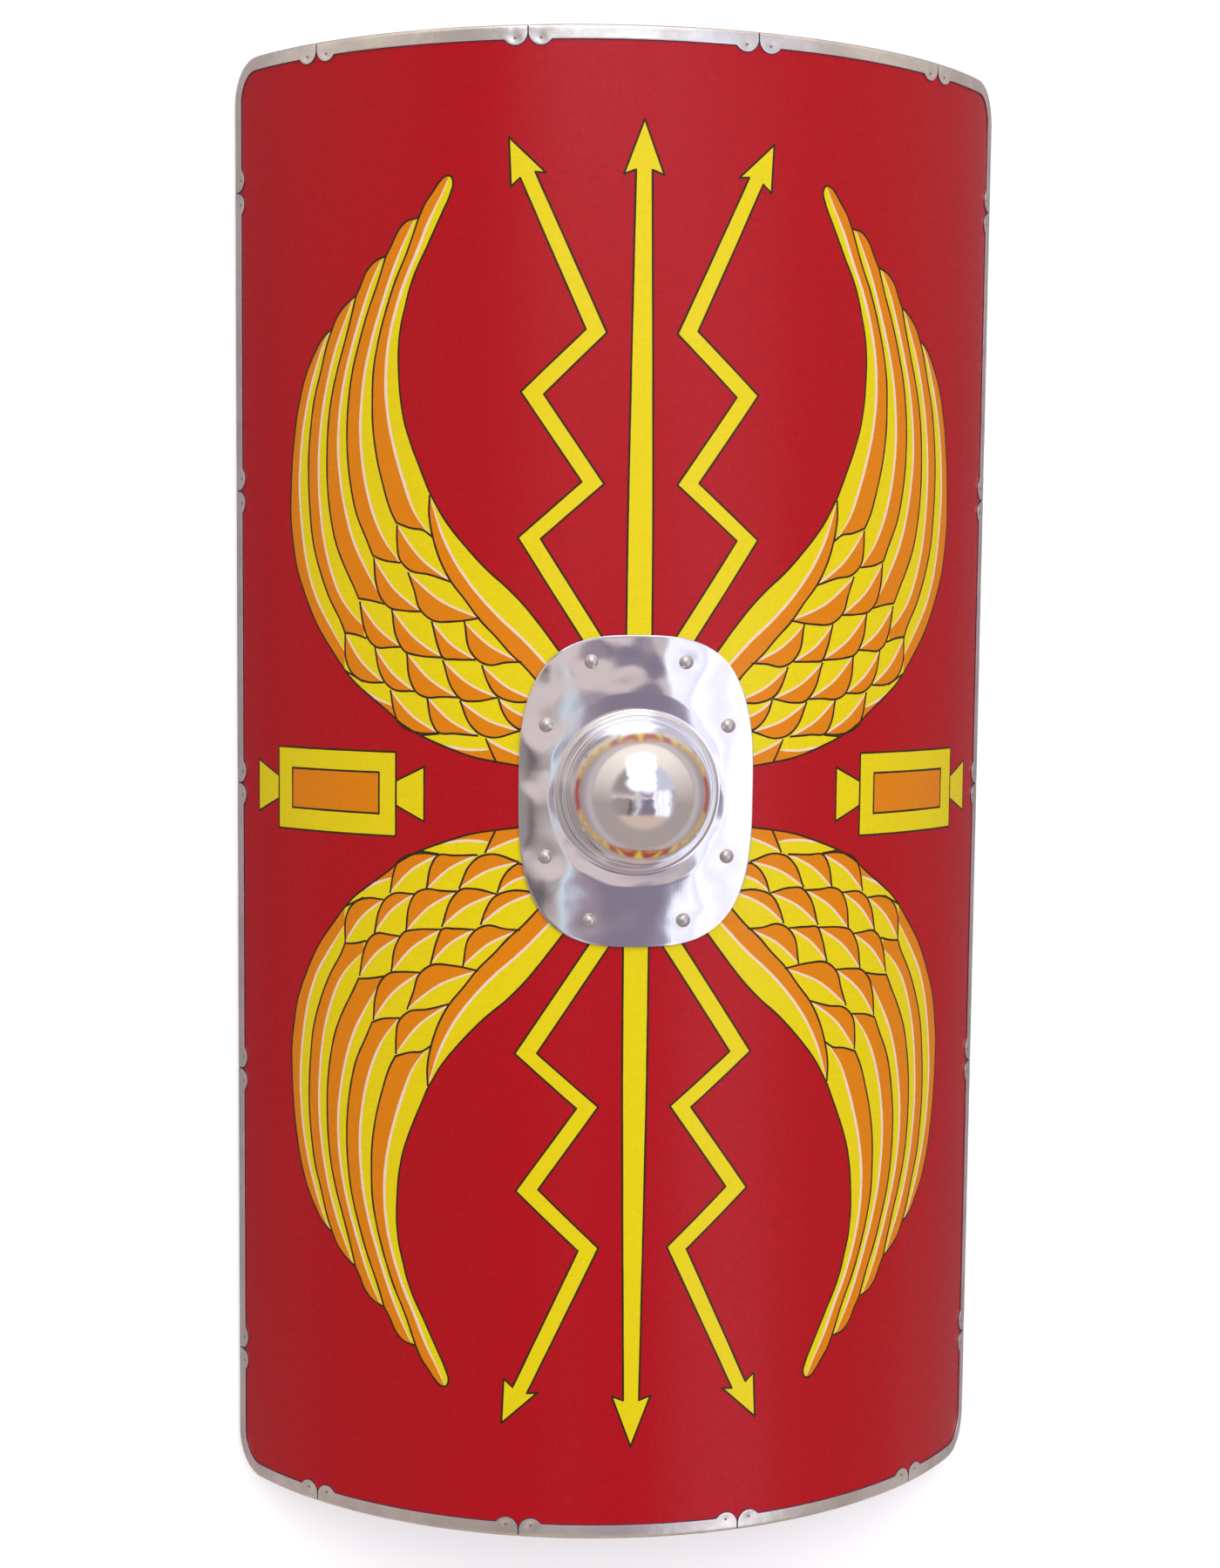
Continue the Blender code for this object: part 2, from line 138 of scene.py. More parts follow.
def in_half(line, up):
    """The same line for the upper half, or mirrored about the wings' middle for the lower half."""
    return line if up else [(x, 2 * WINGS_MIDDLE - y) for x, y in line]


def board_edge():
    """Right half of the board's outline, from the top's middle to the bottom's, in metres."""
    x, y, r = BOARD_WIDTH / 2 - CORNER_RADIUS, BOARD_HEIGHT / 2 - CORNER_RADIUS, CORNER_RADIUS
    turns = [pi / 2 * step / 8 for step in range(9)]
    half = [(0, y + r)] + [(x + r * sin(a), y + r * cos(a)) for a in turns]
    return half + [(x + r * cos(a), -y - r * sin(a)) for a in turns] + [(0, -y - r)]


half_edge = [(1000 * x, 1000 * y) for x, y in board_edge()]
fill(half_edge, RED)

# The right wing, in millimetres: the edges of its five long feathers and of the band below them, the
# feet that close them, then their quills. The left wing and the lower half mirror it.
F5_EDGE = drawn((231, 330), (240, 324), (247, 315), (256, 300), (263.5, 280), (268, 260), (271, 240),
                (272.5, 220), (273, 200), (270.6, 180), (266, 160), (257, 140), (245.6, 120), (229.5, 100),
                (219, 88), (210.5, 80), (196.5, 70), (182, 60), (173, 53), (158.5, 45), (146.5, 40),
                (132.7, 35), (116.6, 30), (99.7, 27), (86, 25), (68, 22))
F5_F4 = drawn((231, 330), (235.5, 320), (242, 300), (248.5, 280), (252, 260), (254, 240), (254, 220),
              (252.5, 200), (249.7, 180), (243.2, 160), (233.9, 140), (221.5, 120), (219.3, 115))
F4_TOP = drawn((231, 330), (226.5, 338), (220, 345), (209.5, 352))
F4_F3 = drawn((209.5, 352), (213, 340), (219.5, 320), (226.5, 300), (232, 280), (235, 260), (236, 240),
              (235.6, 220), (233, 200), (228, 180), (218.5, 160), (212.6, 150), (207, 139.5))
F3_TOP = drawn((209.5, 352), (206, 358), (200, 369), (193, 375), (184.5, 378))
F3_F2 = drawn((184.5, 378), (191, 360), (199.5, 340), (206.5, 320), (212.5, 300), (216, 280), (217.5, 260),
              (217, 240), (214.3, 220), (209.3, 200), (199.7, 180), (195, 170))
F2_TOP = drawn((184.5, 378), (180, 385), (174.5, 395), (168, 401), (158.5, 403))
F2_F1 = drawn((158.5, 403), (167.5, 380), (177, 360), (184.5, 340), (190.5, 320), (194.5, 300),
              (195.5, 280), (195, 260), (192, 240), (186.7, 220), (179.5, 200), (175.5, 193))
F1_EDGE = drawn((158.5, 403), (154, 412), (148, 420), (143, 426.5), (138.5, 430.3), (134.4, 430),
                (132.7, 426), (134.8, 418), (141, 405), (147, 393), (153, 381), (160, 368), (165, 356),
                (168.5, 344), (172.5, 328), (174, 315), (174, 300), (172.5, 280), (169, 262), (163, 245),
                (157, 231), (150, 215))
BAND_OUTER = drawn((150, 215), (140, 198), (120, 174), (106, 160), (92, 148), (80, 136), (70, 124),
                   (60, 111), (48, 95))
BAND_INNER = drawn((149.5, 212), (150, 200), (147, 183), (141, 166), (133, 152), (123, 140), (112, 126),
                   (100, 114), (90, 103), (80, 94), (70, 83), (60, 71))
F4_FOOT = drawn((219.3, 115), (210, 114), (200.5, 111.5))
F3_FOOT = drawn((207, 139.5), (198, 138.5), (185.5, 136))
F2_FOOT = drawn((195, 170), (187, 167), (172.5, 165))
F1_FOOT = drawn((175.5, 193), (163, 189), (155, 188), (147, 183))
F5_QUILL = drawn((233.6, 328.3), (238.9, 320), (247.7, 300), (254.7, 280), (259.6, 260), (262.4, 240),
                 (263.5, 220), (262.2, 200), (259.4, 180), (254.7, 160), (246.5, 140), (233.2, 120),
                 (219.5, 101.5))
F4_QUILL = drawn((212.5, 349.8), (216.8, 340), (226, 320), (233.2, 300), (238.5, 280), (242.1, 260),
                 (243.9, 240), (243.8, 220), (242.1, 200), (238.7, 180), (232.5, 160), (222.6, 140),
                 (210, 126), (202, 119.5))
F3_QUILL = drawn((188.5, 375.3), (196.5, 360), (204.5, 340), (211.8, 320), (218.2, 300), (222.7, 280),
                 (225.2, 260), (225.4, 240), (222.9, 220), (218.5, 200), (211.5, 180), (200.5, 160),
                 (186.5, 138.5))
F2_QUILL = drawn((162.5, 400.8), (173.2, 380), (181.8, 360), (189.3, 340), (196.2, 320), (201.5, 300),
                 (204.5, 280), (205.7, 260), (204.5, 240), (201, 220), (194.8, 200), (186, 182),
                 (173, 165.5))
F1_QUILL = drawn((136.4, 428), (140.2, 420), (150.8, 400), (159.6, 380), (169.2, 360), (176.6, 340),
                 (181.8, 320), (184.2, 300), (184, 280), (181.2, 260), (176, 240), (169.3, 220), (161, 200),
                 (149, 184))
BAND_QUILL = drawn((148.3, 208), (140, 185), (130, 166), (120, 152), (100, 130), (80, 112), (62, 93),
                   (51, 80))

# the wing's scales: upper tip, lower tip, and the way that the lower edge takes between them
SCALES = (
    ((175, 191), (133, 152), (175, 180), (172.5, 167), (165, 160), (150, 157)),
    ((166, 158), (112, 127), (161, 145), (157, 133), (148, 125.5), (130, 124.5)),
    ((123, 124), (82, 97), (118, 103), (112, 97), (105, 94.5), (93, 96.5)),
    ((110, 94), (70, 70), (107, 85), (100, 74), (89, 69.5)),
    ((194, 168), (156, 131), (192, 150), (188, 140), (181, 133.5), (170, 131.5)),
    ((179, 132), (139, 99), (175, 112), (168, 102.5), (160, 100.5)),
    ((147.5, 124), (115, 98), (142, 105), (139, 99), (130, 98)),
    ((139, 97), (99, 72), (131, 76), (125, 70), (115, 69)),
    ((98, 71), (76, 58), (95, 62), (88, 53), (82, 50)),
    ((206, 137), (172, 106), (202, 118), (198, 110), (192, 105.5), (180, 105.5)),
    ((193, 105), (161, 75), (189, 88), (184, 80), (178, 76)),
    ((167, 102), (128, 71.5), (164, 82), (159, 74), (152, 71), (140, 71.5)),
    ((126, 69), (83, 49), (118, 52), (111, 46), (103, 44)),
    ((219, 114), (186, 80.5), (218, 95), (215, 89), (208, 83), (200, 80.5)),
    ((180, 75), (142, 46), (177, 60), (174, 53), (155, 45.5)),
    ((151, 71), (113, 45), (147, 53), (143, 47), (130, 46)),
)
SLIVERS = (
    (drawn((206, 76), (193, 69.5), (179, 64.5)), [(176, 56), (182, 60), (196.5, 70)]),
    (drawn((138, 37.5), (121, 35), (105, 35.5)), [(100, 27), (116.6, 30), (132.7, 35)]),
    (drawn((107, 43), (95, 37), (80, 31)), [(78, 23), (99.7, 27), (104, 36)]),
)
SLIVER_EDGES = (
    drawn((219, 88), (203, 80.5)),
    drawn((156, 44), (142, 45.5)),
    drawn((107, 43), (104, 36), (100, 28)),
)

# each feather is yellow, and orange between its quill and its outer edge
wing = F5_EDGE + BAND_OUTER[::-1] + F1_EDGE[::-1] + F2_TOP[::-1] + F3_TOP[::-1] + F4_TOP[::-1]
f5_upper = [point for point in F5_EDGE if point.y > 86 and point.x > 217] + [Vector((219.5, 88))]
f1_upper = [point for point in F1_EDGE if point.y > 402 and point.x > 136]
feathers = (
    (F4_TOP, F4_QUILL, F4_FOOT, F5_F4),
    (F3_TOP, F3_QUILL, F3_FOOT, F4_F3),
    (F2_TOP, F2_QUILL, F2_FOOT, F3_F2),
    (f1_upper, F1_QUILL, F1_FOOT, F2_F1),
)
for up in (True, False):
    fill(in_half(wing, up), YELLOW)
    fill(in_half(f5_upper + F5_QUILL[::-1], up), ORANGE)
    for tip, quill, foot, outer in feathers:
        fill(in_half(tip + quill + foot[-2::-1] + outer[::-1], up), ORANGE)
    fill(in_half(BAND_QUILL + BAND_INNER[::-1], up), ORANGE)
    quills = [(F5_QUILL, 1.9), (F4_QUILL, 1.9), (F3_QUILL, 2.0)]
    quills += [(F2_QUILL, 2.1), (F1_QUILL, 2.2), (BAND_QUILL, 1.9)]
    edges = [F5_EDGE, F5_F4, F4_TOP, F4_F3, F3_TOP, F3_F2, F2_TOP, F2_F1, F1_EDGE, BAND_OUTER, BAND_INNER]
    edges += [F4_FOOT, F3_FOOT, F2_FOOT, F1_FOOT, *SLIVER_EDGES]
    for top, low, *way in SCALES:
        edge = drawn(top, *way, low)
        span = Vector(low) - Vector(top)
        bow = Vector((-span.y, span.x)) * QUILL_BOW
        quill = drawn(top, Vector(top) + span * 0.5 + bow, low)
        fill(in_half(edge + quill[-2:0:-1], up), ORANGE)
        quills.append((quill, SCALE_QUILL))
        edges.append(edge)
    for quill, under in SLIVERS:
        fill(in_half(quill + under, up), ORANGE)
        quills.append((quill, SCALE_QUILL))
    for quill, wide in quills:
        brush(in_half(quill, up), wide, QUILL, start=0.25, end=0.25)
    for edge in edges:
        brush(in_half(edge, up), BRUSH_LINE, OUTLINE)

# the lightning, the arrow that stands on the middle, and the tablet at each side
BOLT = ((93, 455), (91.5, 421.8), (85, 427.5), (39, 325.5), (83.7, 283), (41, 221.6), (85, 183), (28, 95))
BOLT_BACK = ((12.7, 95), (69, 182.3), (25.4, 220.3), (67.5, 281.3), (24.4, 323.3), (74.5, 431.5), (67, 430.8))
ARROW = ((0, 467.5), (14, 430.3), (5.7, 433.5), (7.6, 300), (8.8, 200), (9.2, 95))
TABLET = ((175.5, 31.5), (287, 30.5), (287, -29.5), (175.5, -28.5))
TABLET_PANEL = ((189.5, 16.5), (271.5, 15.5), (271.5, -13.5), (189.5, -13))
INNER_EAR = ((153, 22), (175.5, 11), (175.5, -6.5), (153, -17))
OUTER_EAR = ((312, 19.5), (287, 9), (287, -8), (312, -19))
for up in (True, False):
    bolt = [(x, y if up else LOWER_BOLT_SHIFT - LOWER_BOLT_SIZE * y) for x, y in BOLT + BOLT_BACK]
    arrow = [(x, y if up else 2 * ARROW_MIDDLE - y) for x, y in ARROW]
    fill(bolt, YELLOW)
    fill([(-x, y) for x, y in arrow[::-1]] + arrow[1:], YELLOW)
    front, behind = bolt[:len(BOLT)], bolt[len(BOLT):] + bolt[:1]
    for line in (front, behind, arrow):
        for a, b in zip(line, line[1:]):
            ruled(a, b, step=12)
for shape, colour in ((TABLET, YELLOW), (INNER_EAR, YELLOW), (OUTER_EAR, YELLOW), (TABLET_PANEL, ORANGE)):
    fill(shape, colour)
    for a, b in zip(shape, shape[1:] + shape[:1]):
        ruled(a, b, step=9)


def hand_hole(steps=32):
    """Right half of the hand hole, closed a little beyond the board's middle, in millimetres."""
    turns = [pi / 2 - pi * step / steps for step in range(steps + 1)]
    r, middle, beyond = HAND_HOLE_RADIUS, BOSS_ABOVE_MIDDLE, -20
    points = [(1000 * r * cos(a), 1000 * (r * sin(a) + middle)) for a in turns]
    return [(beyond, points[0][1])] + points + [(beyond, points[-1][1])]


def sheet_parts(points, faces, colours):
    """Cuts the right half of the board into triangles along every outline and mirrors them."""
    points = list(points)

    # straight cuts up the board, from beyond its edges, give the curve its narrow facets
    columns = []
    for column in range(1, ceil(BOARD_WIDTH / 2 / COLUMN)):
        columns.append((len(points), len(points) + 1))
        points += [Vector((column * COLUMN, COLUMN_END)), Vector((column * COLUMN, -COLUMN_END))]
    places, _, triangles, _, _, owners = delaunay_2d_cdt(points, columns, faces, 1, 1e-7, True)
    found = []
    for triangle, owner in zip(triangles, owners):
        if 0 in owner and colours[max(owner)] != HOLE:
            corners = [places[i] for i in triangle]
            if (corners[1] - corners[0]).cross(corners[2] - corners[0]) < 0:
                corners.reverse()
            found.append((corners, colours[max(owner)]))
            found.append(([Vector((-x, y)) for x, y in reversed(corners)], colours[max(owner)]))
    return found


fill(hand_hole(), HOLE)
painted_parts = sheet_parts(canvas_points, canvas_faces, canvas_colours)
canvas_points, canvas_faces, canvas_colours = [], [], []
fill(half_edge, RED)
fill(hand_hole(), HOLE)
plain_parts = sheet_parts(canvas_points, canvas_faces, canvas_colours)


def new_piece(name, mesh, node=None):
    """Puts a mesh in the scene as a piece that rides with the shield."""
    piece = bpy.data.objects.new(name, mesh)
    bpy.context.scene.collection.objects.link(piece)
    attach(piece, "root")
    if node:
        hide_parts(node)
    return piece


def finished(bm, name):
    """The mesh that was built, under this name."""
    mesh = bpy.data.meshes.new(name)
    bm.to_mesh(mesh)
    bm.free()
    return mesh


def curved_sheet(name, front, front_level, back, back_level):
    """A closed sheet with the board's curve from two sets of triangles with the same rim."""
    bm = bmesh.new()
    for parts, level, outward in ((front, front_level, True), (back, back_level, False)):
        for corners, colour in parts:
            ring = corners if outward else corners[::-1]
            face = bm.faces.new([bm.verts.new((x, y, level)) for x, y in ring])
            face.material_index = colour if outward else 0
    bmesh.ops.remove_doubles(bm, verts=bm.verts, dist=MERGED)
    bmesh.ops.dissolve_degenerate(bm, edges=bm.edges, dist=MERGED)
    middle = (front_level + back_level) / 2
    under = [vert for vert in bm.verts if vert.is_boundary and vert.co.z < middle]
    tree = KDTree(len(under))
    for i, vert in enumerate(under):
        tree.insert(vert.co, i)
    tree.balance()
    rim = [edge for edge in bm.edges if edge.is_boundary and edge.verts[0].co.z > middle]
    for edge in rim:
        loop = edge.link_loops[0]
        a, b = loop.vert, loop.link_loop_next.vert
        below = [under[tree.find((*end.co.xy, back_level))[1]] for end in (a, b)]
        bm.faces.new((b, a, below[0], below[1])).material_index = 0
    uv = bm.loops.layers.uv.new("OFBake")
    for face in bm.faces:
        for loop in face.loops:
            x, y, _ = loop.vert.co
            loop[uv].uv = (0.5 + x / BOARD_WIDTH * MAP_SHARE, 0.5 + y / BOARD_HEIGHT * MAP_SHARE)
    for vert in bm.verts:
        vert.co = on_board(*vert.co)
    bmesh.ops.triangulate(bm, faces=[face for face in bm.faces if len(face.verts) > 4])
    mesh = finished(bm, name)
    mesh.shade_smooth()

    # the front and the back are shaded as the true curve, and the rim as it is
    normals = []
    for face in mesh.polygons:
        for i in face.loop_indices:
            x, _, z = mesh.vertices[mesh.loops[i].vertex_index].co
            outward = Vector((x, 0, z - AXIS_Z)).normalized()
            along = face.normal.dot(outward)
            normals.append(outward if along > 0.9 else -outward if along < -0.9 else face.normal)
    mesh.normals_split_custom_set(normals)
    return mesh


def wiring(tree):
    """A way to add a node with its inputs, joined or set, to this node tree."""
    def add(kind, inputs=(), **settings):
        node = tree.nodes.new("ShaderNode" + kind)
        for key, value in settings.items():
            setattr(node, key, value)
        for key, value in dict(inputs).items():
            if isinstance(value, bpy.types.NodeSocket):
                tree.links.new(value, node.inputs[key])
            else:
                node.inputs[key].default_value = value
        return node

    return add


def node_graph(name):
    """A new material with its shader, a way to add nodes and a way to join one to the shader."""
    material = bpy.data.materials.new(name)
    material.use_nodes = True
    tree = material.node_tree
    shader = tree.nodes["Principled BSDF"]

    def join(socket, key):
        tree.links.new(socket, shader.inputs[key])

    return material, shader, wiring(tree), join


def clouds(add, place, scale, detail=2.0, roughness=0.5, distortion=0.0):
    """Cloudy noise over these coordinates."""
    texture = add("TexNoise", {"Vector": place, "Scale": scale, "Detail": detail, "Roughness": roughness})
    texture.inputs["Distortion"].default_value = distortion
    return texture.outputs["Fac"]


def spread(add, value, start, end, low=0.0, high=1.0):
    """A number that goes from low to high as a value goes from start to end."""
    ends = {"From Min": start, "From Max": end, "To Min": low, "To Max": high}
    return add("MapRange", {"Value": value, **ends}).outputs[0]


def bumps(add, height, strength, distance):
    """The slope of a surface that is raised by this height."""
    return add("Bump", {"Height": height, "Strength": strength, "Distance": distance}).outputs[0]


def two_tone(add, share, dark, light):
    """A colour that goes from dark to light with a share from 0 to 1."""
    ramp = add("ValToRGB", {"Fac": share})
    ramp.color_ramp.elements[0].color = (*dark, 1)
    ramp.color_ramp.elements[1].color = (*light, 1)
    return ramp.outputs["Color"]


def summed(add, first, second):
    """One number added to another."""
    return add("Math", {0: first, 1: second}, operation="ADD").outputs[0]


def oil_paint(name, colour, weave=0.12):
    """Hand-brushed satin oil paint on fine linen, whose uneven threads show through."""
    material, shader, add, join = node_graph(name)
    uv = add("UVMap", uv_map="OFBake").outputs["UV"]
    size = (BOARD_WIDTH / MAP_SHARE, BOARD_HEIGHT / MAP_SHARE, 1)
    metres = add("Mapping", {"Vector": uv, "Scale": size}).outputs[0]
    down = add("Mapping", {"Vector": metres, "Scale": (1, 0.10, 1)}).outputs[0]
    across = add("Mapping", {"Vector": metres, "Scale": (0.10, 1, 1)}).outputs[0]
    warp = clouds(add, down, 950.0)
    weft = clouds(add, across, 870.0)
    threads = summed(add, warp, weft)
    grain = clouds(add, metres, 260.0, 4.0, roughness=0.6)
    both = summed(add, threads, grain)
    amount = spread(add, both, 0.7, 2.3)
    dark = [(1 - weave) * part for part in colour]
    light = [min(1, (1 + weave) * part) for part in colour]
    tint = add("Mix", {"Factor": amount, 6: (*dark, 1), 7: (*light, 1)}, data_type="RGBA")
    join(tint.outputs[2], "Base Color")
    join(spread(add, both, 0.7, 2.3, 0.35, 0.19), "Roughness")
    join(bumps(add, both, 0.25, 0.0002), "Normal")
    shader.inputs["Specular IOR Level"].default_value = 0.23
    return material


paints = (
    oil_paint("red_ground", (0.405, 0.0032, 0.0090), weave=0.24),
    oil_paint("yellow_paint", (0.750, 0.615, 0.004)),
    oil_paint("orange_paint", (0.690, 0.212, 0.002)),
    oil_paint("pale_quill_paint", (0.820, 0.650, 0.510)),
    oil_paint("dark_outline_paint", (0.034, 0.018, 0.007)),
)
linen_mesh = curved_sheet("painted_linen", painted_parts, 0, plain_parts, -LINEN)
linen = new_piece("painted_linen", linen_mesh, "board")
for paint in paints:
    linen.data.materials.append(paint)

# Plywood board. Thin birch plies glued up over a curved form and trimmed to a rounded rectangle.
# The linen is glued to its front; its oiled back and the plies round its hand hole stay bare.
BOARD_THICKNESS = 0.008
GLUE_GAP = 0.00002


def birch_plywood():
    """Bare birch with its long figure and fine pores, under oil."""
    material, shader, add, join = node_graph("oiled_birch_plywood")
    place = add("TexCoord").outputs["Object"]
    long = add("Mapping", {"Vector": place, "Scale": (14, 1.1, 14)}).outputs[0]
    grain = clouds(add, long, 9.0, 5.0, roughness=0.6, distortion=0.6)
    fine = add("Mapping", {"Vector": place, "Scale": (1, 0.03, 1)}).outputs[0]
    pores = clouds(add, fine, 900.0)
    mixed = summed(add, grain, pores)
    wood = two_tone(add, spread(add, mixed, 0.7, 1.3), (0.28, 0.135, 0.050), (0.56, 0.34, 0.155))
    join(wood, "Base Color")
    shader.inputs["Roughness"].default_value = 0.5
    join(bumps(add, mixed, 0.25, 0.0003), "Normal")
    return material


plywood_mesh = curved_sheet("plywood_board", plain_parts, -LINEN - GLUE_GAP, plain_parts, -BOARD_THICKNESS)
plywood = new_piece("plywood_board", plywood_mesh, "board")
plywood.data.materials.append(birch_plywood())

# Edge binding. Eighteen channels of thin sheet steel folded round the board's edge, with a rounded
# ear at both ends of each. They are bent and tapped down by hand, so they are slightly uneven.
SHEET = 0.0008
BINDING_OUT = 0.0011
LEG_DEPTH = 0.009
EAR_RADIUS = 0.0085
EAR_DEPTH = 0.013
FOLD_RADIUS = 0.0024
JOINT_GAP = 0.001
NAIL_DEPTH = 0.0080
DIMPLE_DEPTH = 0.0005
DIMPLE_RADIUS = 0.0027
WAVE_HEIGHT = 0.00016
RIPPLE_HEIGHT = 0.00007
TOP_JOINT = 0.080
CORNER_PIECE_WIDTH = 0.0975
CORNER_PIECE_HEIGHT = 0.094
WELL_IN, WELL_BELOW = 0.03, -0.05
HALF_TOP = BOARD_WIDTH / 2 - CORNER_RADIUS
CORNER_ARC = CORNER_RADIUS * pi / 2
QUARTER = HALF_TOP + CORNER_ARC + BOARD_HEIGHT / 2 - CORNER_RADIUS
far = BOARD_WIDTH / 2 - CORNER_PIECE_WIDTH
side = BOARD_HEIGHT / 2 - CORNER_PIECE_HEIGHT
right_joints = [TOP_JOINT, far, QUARTER - side, QUARTER - side / 2, QUARTER, QUARTER + side / 2]
right_joints += [QUARTER + side, 2 * QUARTER - far, 2 * QUARTER - TOP_JOINT]
joints = [-TOP_JOINT] + right_joints + [4 * QUARTER - joint for joint in reversed(right_joints)]
rim_names = ["top_middle", "top_right", "corner_top_right", "right_1", "right_2", "right_3", "right_4"]
rim_names += ["corner_bottom_right", "bottom_right", "bottom_middle", "bottom_left", "corner_bottom_left"]
rim_names += ["left_4", "left_3", "left_2", "left_1", "corner_top_left", "top_left"]


def edge_point(along, depth):
    """A place in from the board's edge, at a distance clockwise from the top's middle."""
    along %= 4 * QUARTER
    left = along > 2 * QUARTER
    along = 4 * QUARTER - along if left else along
    low = along > QUARTER
    along = 2 * QUARTER - along if low else along
    if along < HALF_TOP:
        x, y = along, BOARD_HEIGHT / 2 - depth
    elif along < HALF_TOP + CORNER_ARC:
        turn = pi / 2 - (along - HALF_TOP) / CORNER_RADIUS
        x = HALF_TOP + (CORNER_RADIUS - depth) * cos(turn)
        y = BOARD_HEIGHT / 2 - CORNER_RADIUS + (CORNER_RADIUS - depth) * sin(turn)
    else:
        x, y = BOARD_WIDTH / 2 - depth, QUARTER - along
    return (-x if left else x), (-y if low else y)


def leg_depth(on, length, grow=0.0):
    """How far in the sheet, or what is this much wider, reaches at this distance from its start."""
    near_end = min(on, length - on)
    ear = EAR_DEPTH - EAR_RADIUS + sqrt(max(0, (EAR_RADIUS + grow) ** 2 - (near_end - EAR_RADIUS) ** 2))
    return ear if near_end < EAR_RADIUS else max(ear, LEG_DEPTH + grow)


def binding_stops(length):
    """Places along a strip, closer together round its ears."""
    ear = [2 * EAR_RADIUS * (1 - cos(pi * step / 14)) / 2 for step in range(15)]
    inner = length - 4 * EAR_RADIUS
    count = max(3, ceil(inner / 0.006))
    stops = ear + [2 * EAR_RADIUS + inner * step / count for step in range(1, count)]
    return stops + [length - on for on in reversed(ear)]


def binding_mesh(name, start, end):
    """One channel's outer face, as an open sheet folded over the edge, with a dimple at each nail."""
    start, end = start + JOINT_GAP / 2, end - JOINT_GAP / 2
    length = end - start
    turns = [pi / 2 * step / 5 for step in range(6)]
    rows = []
    for on in binding_stops(length):
        reach = leg_depth(on, length)
        fold = FOLD_RADIUS - BINDING_OUT
        top_leg = [(reach + (fold - reach) * step / 8, BINDING_OUT) for step in range(8)]
        arc_top = [(fold - FOLD_RADIUS * sin(a), BINDING_OUT - FOLD_RADIUS * (1 - cos(a))) for a in turns]
        profile = top_leg + arc_top
        profile += [(depth, -BOARD_THICKNESS - level) for depth, level in reversed(profile)]
        row = []
        for depth, level in profile:
            s, y = edge_point(start + on, depth)
            spot = Vector((s, y, 0))
            wave = noise.noise(spot * 42) * WAVE_HEIGHT + noise.noise(spot * 140) * RIPPLE_HEIGHT
            if level > -BOARD_THICKNESS / 2:
                for nail in (EAR_RADIUS, length - EAR_RADIUS):
                    away = hypot(on - nail, depth - NAIL_DEPTH)
                    level -= DIMPLE_DEPTH * exp(-((away / DIMPLE_RADIUS) ** 2))
                row.append(on_board(s, y, level + min(0, wave)))
            else:
                row.append(on_board(s, y, level))
        rows.append(row)
    bm = bmesh.new()
    grid = [[bm.verts.new(point) for point in row] for row in rows]
    for a, b in zip(grid, grid[1:]):
        for i in range(len(a) - 1):
            bm.faces.new((a[i], a[i + 1], b[i + 1], b[i]))
    bmesh.ops.recalc_face_normals(bm, faces=bm.faces)
    return finished(bm, name)


def apply_modifiers(piece):
    """Applies all of a piece's modifiers in their order."""
    bpy.ops.object.select_all(action="DESELECT")
    bpy.context.view_layer.objects.active = piece
    piece.select_set(True)
    for modifier in list(piece.modifiers):
        bpy.ops.object.modifier_apply(modifier=modifier.name)
    piece.select_set(False)


def give_wall(piece, thickness, rounding=0.0, segments=2, sharp=radians(50)):
    """Gives an open sheet its thickness inwards, and rounds and shades its edges if asked."""
    wall = piece.modifiers.new("wall", "SOLIDIFY")
    wall.thickness, wall.offset = thickness, -1
    if rounding:
        edge = piece.modifiers.new("edge", "BEVEL")
        edge.width, edge.segments, edge.limit_method, edge.angle_limit = rounding, segments, "ANGLE", sharp
    apply_modifiers(piece)
    if rounding:
        piece.data.shade_smooth()
        piece.data.set_sharp_from_angle(angle=sharp)


def face_outward(mesh, inside):
    """Turns the faces of an open sheet so that they look away from this point."""
    face = mesh.polygons[0]
    if face.normal.dot(face.center - inside) < 0:
        mesh.flip_normals()


def binding_steel():
    """Satin sheet steel with paler patches where it is worn, and small dents."""
    material, shader, add, join = node_graph("satin_sheet_steel")
    place = add("TexCoord").outputs["Object"]
    patches = clouds(add, place, 34.0, 4.0, roughness=0.6)
    ramp = add("ValToRGB", {"Fac": patches})
    ramp.color_ramp.elements[0].position = 0.32
    ramp.color_ramp.elements[0].color = (0.72, 0.68, 0.62, 1)
    ramp.color_ramp.elements[1].position = 0.62
    ramp.color_ramp.elements[1].color = (0.90, 0.87, 0.82, 1)
    join(ramp.outputs["Color"], "Base Color")
    join(spread(add, patches, 0.3, 0.7, 0.36, 0.22), "Roughness")
    shader.inputs["Metallic"].default_value = 1.0
    dents = clouds(add, place, 95.0)
    join(bumps(add, dents, 0.40, 0.0007), "Normal")
    return material


sheet_steel = binding_steel()
for name, start, end in zip(rim_names, joints, joints[1:]):
    mesh = binding_mesh(f"binding_{name}", start, end)
    face_outward(mesh, on_board(*edge_point((start + end) / 2, WELL_IN), WELL_BELOW))
    strip = new_piece(f"binding_{name}", mesh, f"rim_{name}")
    mesh.materials.append(sheet_steel)
    give_wall(strip, SHEET, rounding=0.0002)

